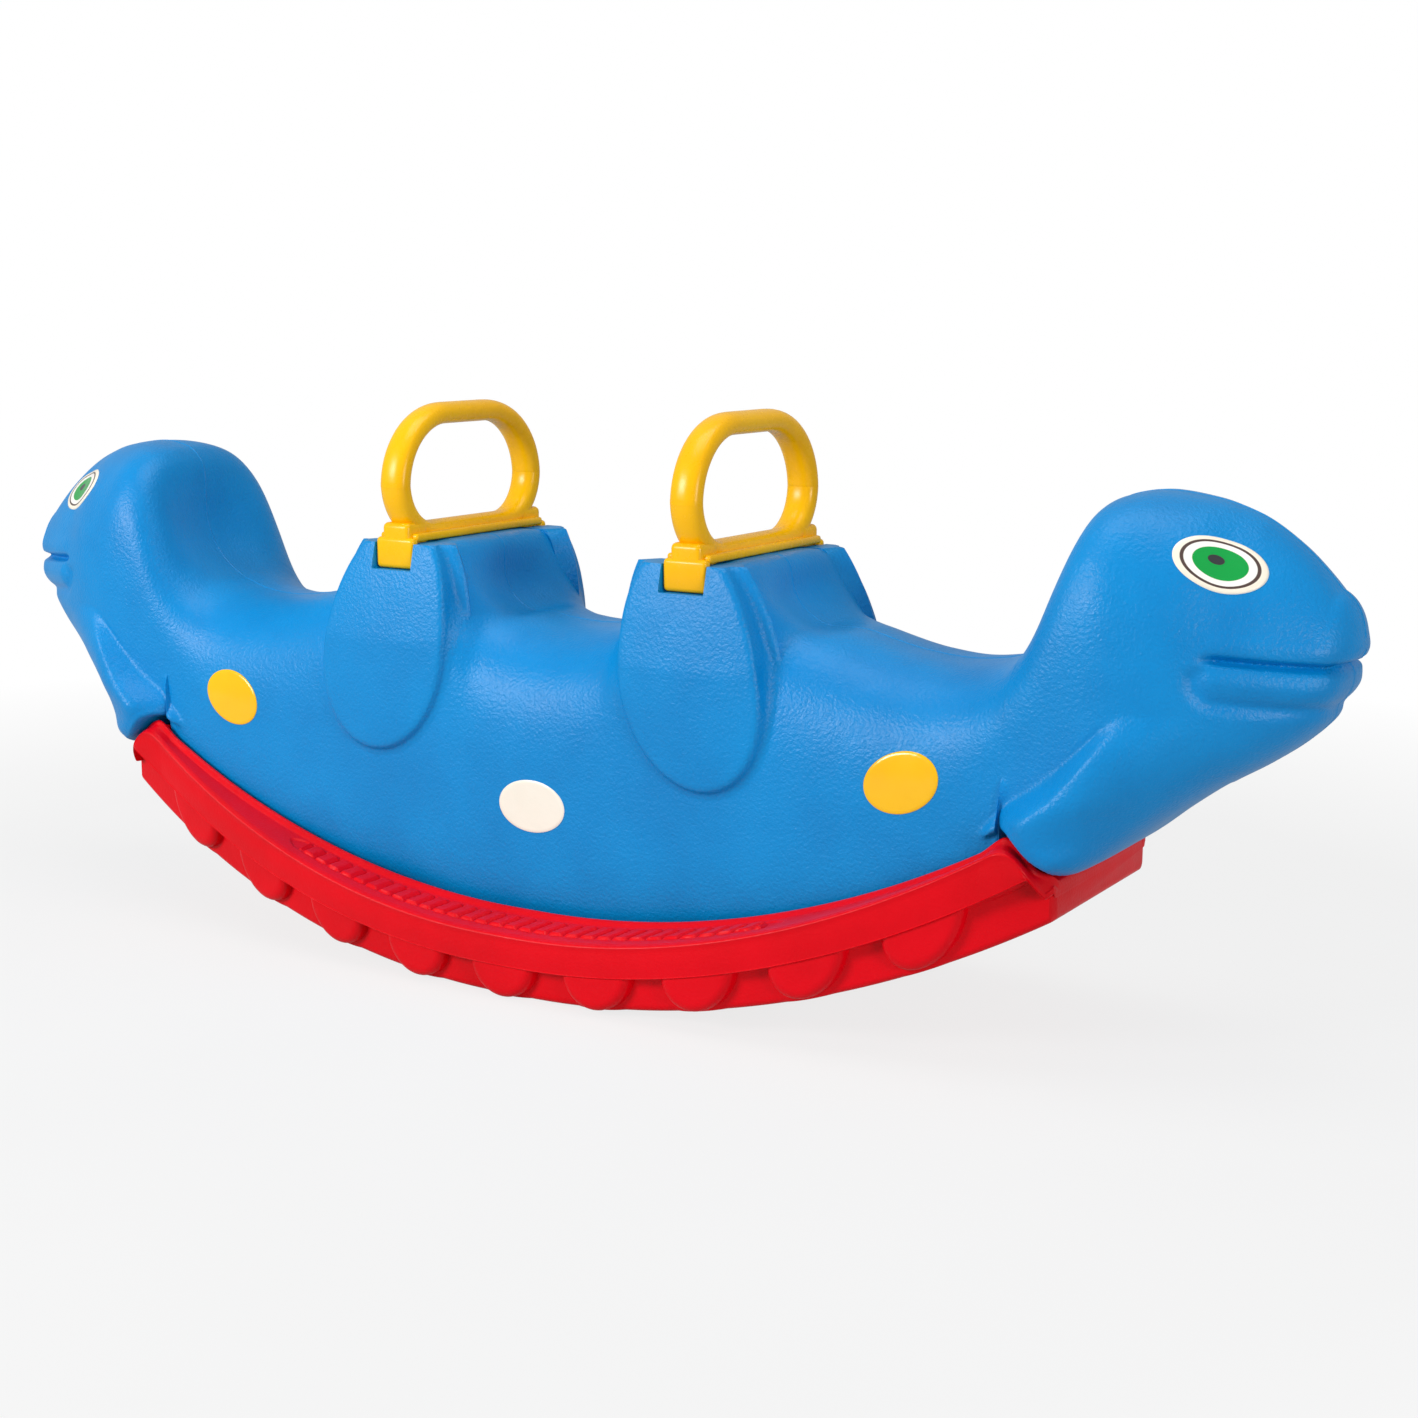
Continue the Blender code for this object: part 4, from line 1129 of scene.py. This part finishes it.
def lamp(name, at, towards, size, power):
    """A large soft panel of light."""
    light = bpy.data.lights.new(name, "AREA")
    light.shape = "RECTANGLE"
    light.size, light.size_y = size
    light.energy = power
    placed = bpy.data.objects.new(name, light)
    placed.location = at
    placed.rotation_euler = (Vector(towards) - Vector(at)).to_track_quat("-Z", "Y").to_euler()
    bpy.context.scene.collection.objects.link(placed)


def backdrop_share(tree):
    """How far a ray takes the backdrop's plain white: fully where seen, partly where mirrored."""
    rays = add_node(tree, "ShaderNodeLightPath", {}, {})
    settings = {"operation": "MULTIPLY", 1: MIRRORED_BACKDROP}
    mirrored = add_node(tree, "ShaderNodeMath", settings, {0: rays.outputs["Is Glossy Ray"]})
    share = rays.outputs["Is Camera Ray"]
    for other in (mirrored.outputs[0], rays.outputs["Is Transmission Ray"]):
        share = add_node(tree, "ShaderNodeMath", {"operation": "MAXIMUM"}, {0: share, 1: other}).outputs[0]
    return share


def floor_paint():
    """Matt white paint that keeps a faint shadow near the object and runs into the backdrop beyond."""
    material, tree, shader = start_material("matt_white_floor_paint", 0.9)
    place = add_node(tree, "ShaderNodeTexCoord", {}, {}).outputs["Object"]
    settings = {"Scale": per_metre(FLOOR_CLOUD_MM), "Detail": 3.0}
    cloud = add_node(tree, "ShaderNodeTexNoise", settings, {"Vector": place})
    stops = [(0.3, linear("#BDBDBD")), (0.7, linear("#C4C4C4"))]
    colour = add_node(tree, "ShaderNodeValToRGB", {"stops": stops}, {"Fac": cloud.outputs["Fac"]})
    tree.links.new(colour.outputs["Color"], shader.inputs["Base Color"])
    away = add_node(tree, "ShaderNodeVectorMath", {"operation": "LENGTH"}, {"Vector": place})
    near, far = FLOOR_FADE
    settings = {"From Min": near, "From Max": far, "To Min": FLOOR_NEAR_SHARE, "To Max": 1.0}
    fade = add_node(tree, "ShaderNodeMapRange", settings, {"Value": away.outputs["Value"]})
    sources = {0: fade.outputs["Result"], 1: backdrop_share(tree)}
    share = add_node(tree, "ShaderNodeMath", {"operation": "MULTIPLY"}, sources)
    settings = {"Color": linear("#FFFFFF"), "Strength": 1.0}
    white = add_node(tree, "ShaderNodeEmission", settings, {})
    sources = {0: share.outputs["Value"], 1: shader.outputs["BSDF"], 2: white.outputs["Emission"]}
    mixed = add_node(tree, "ShaderNodeMixShader", {}, sources)
    tree.links.new(mixed.outputs["Shader"], tree.nodes["Material Output"].inputs["Surface"])
    return material


def make_floor():
    mesh = bpy.data.meshes.new("studio_floor")
    corners = [(-1, -1), (1, -1), (1, 1), (-1, 1)]
    mesh.from_pydata([(x * FLOOR_HALF, y * FLOOR_HALF, 0) for x, y in corners], [], [(0, 1, 2, 3)])
    floor = finished_piece("studio_floor", mesh, floor_paint())
    floor.location.z = -FLOOR_GAP


def make_world():
    """A plain world that lights the object softly, and shows as the same white as the backdrop."""
    world = bpy.data.worlds.new("studio_world")
    bpy.context.scene.world = world
    world.use_nodes = True
    tree = world.node_tree
    around = tree.nodes["Background"]
    around.inputs["Color"].default_value = linear("#FFFFFF")
    around.inputs["Strength"].default_value = WORLD_LIGHT
    settings = {"Color": linear("#FFFFFF"), "Strength": 1.0}
    seen = add_node(tree, "ShaderNodeBackground", settings, {})
    sources = {0: backdrop_share(tree), 1: around.outputs["Background"], 2: seen.outputs["Background"]}
    mixed = add_node(tree, "ShaderNodeMixShader", {}, sources)
    tree.links.new(mixed.outputs["Shader"], tree.nodes["World Output"].inputs["Surface"])


def make_lamps():
    """One panel over the object, the main one in front on the left, and a weaker one on the right."""
    lamp("overhead_panel", (0.1, -0.2, 2.4), (0.0, 0.0, 0.2), (1.7, 1.2), 20)
    lamp("front_panel", (-1.25, -2.3, 1.30), (0.1, 0.0, 0.2), (1.0, 0.8), 50)
    lamp("side_panel", (2.5, -1.1, 0.80), (0.2, 0.0, 0.2), (0.8, 0.8), 22)


def make_camera():
    azimuth, elevation, roll = (math.radians(a) for a in (CAMERA_AZIMUTH, CAMERA_ELEVATION, CAMERA_ROLL))
    flat = math.cos(elevation)
    back = Vector((math.sin(azimuth) * flat, -math.cos(azimuth) * flat, math.sin(elevation)))
    level = Vector((math.cos(azimuth), math.sin(azimuth), 0))
    upright = back.cross(level)
    right = level * math.cos(roll) + upright * math.sin(roll)
    up = upright * math.cos(roll) - level * math.sin(roll)
    lens = bpy.data.cameras.new("camera")
    lens.lens = LENS_MM
    lens.sensor_width = SENSOR_MM
    camera = bpy.data.objects.new("camera", lens)
    camera.matrix_world = Matrix.Translation(CAMERA_AT) @ Matrix((right, up, back)).transposed().to_4x4()
    bpy.context.scene.collection.objects.link(camera)
    bpy.context.scene.camera = camera


make_floor()
make_world()
make_lamps()
make_camera()
bpy.context.scene.view_settings.view_transform = "Standard"
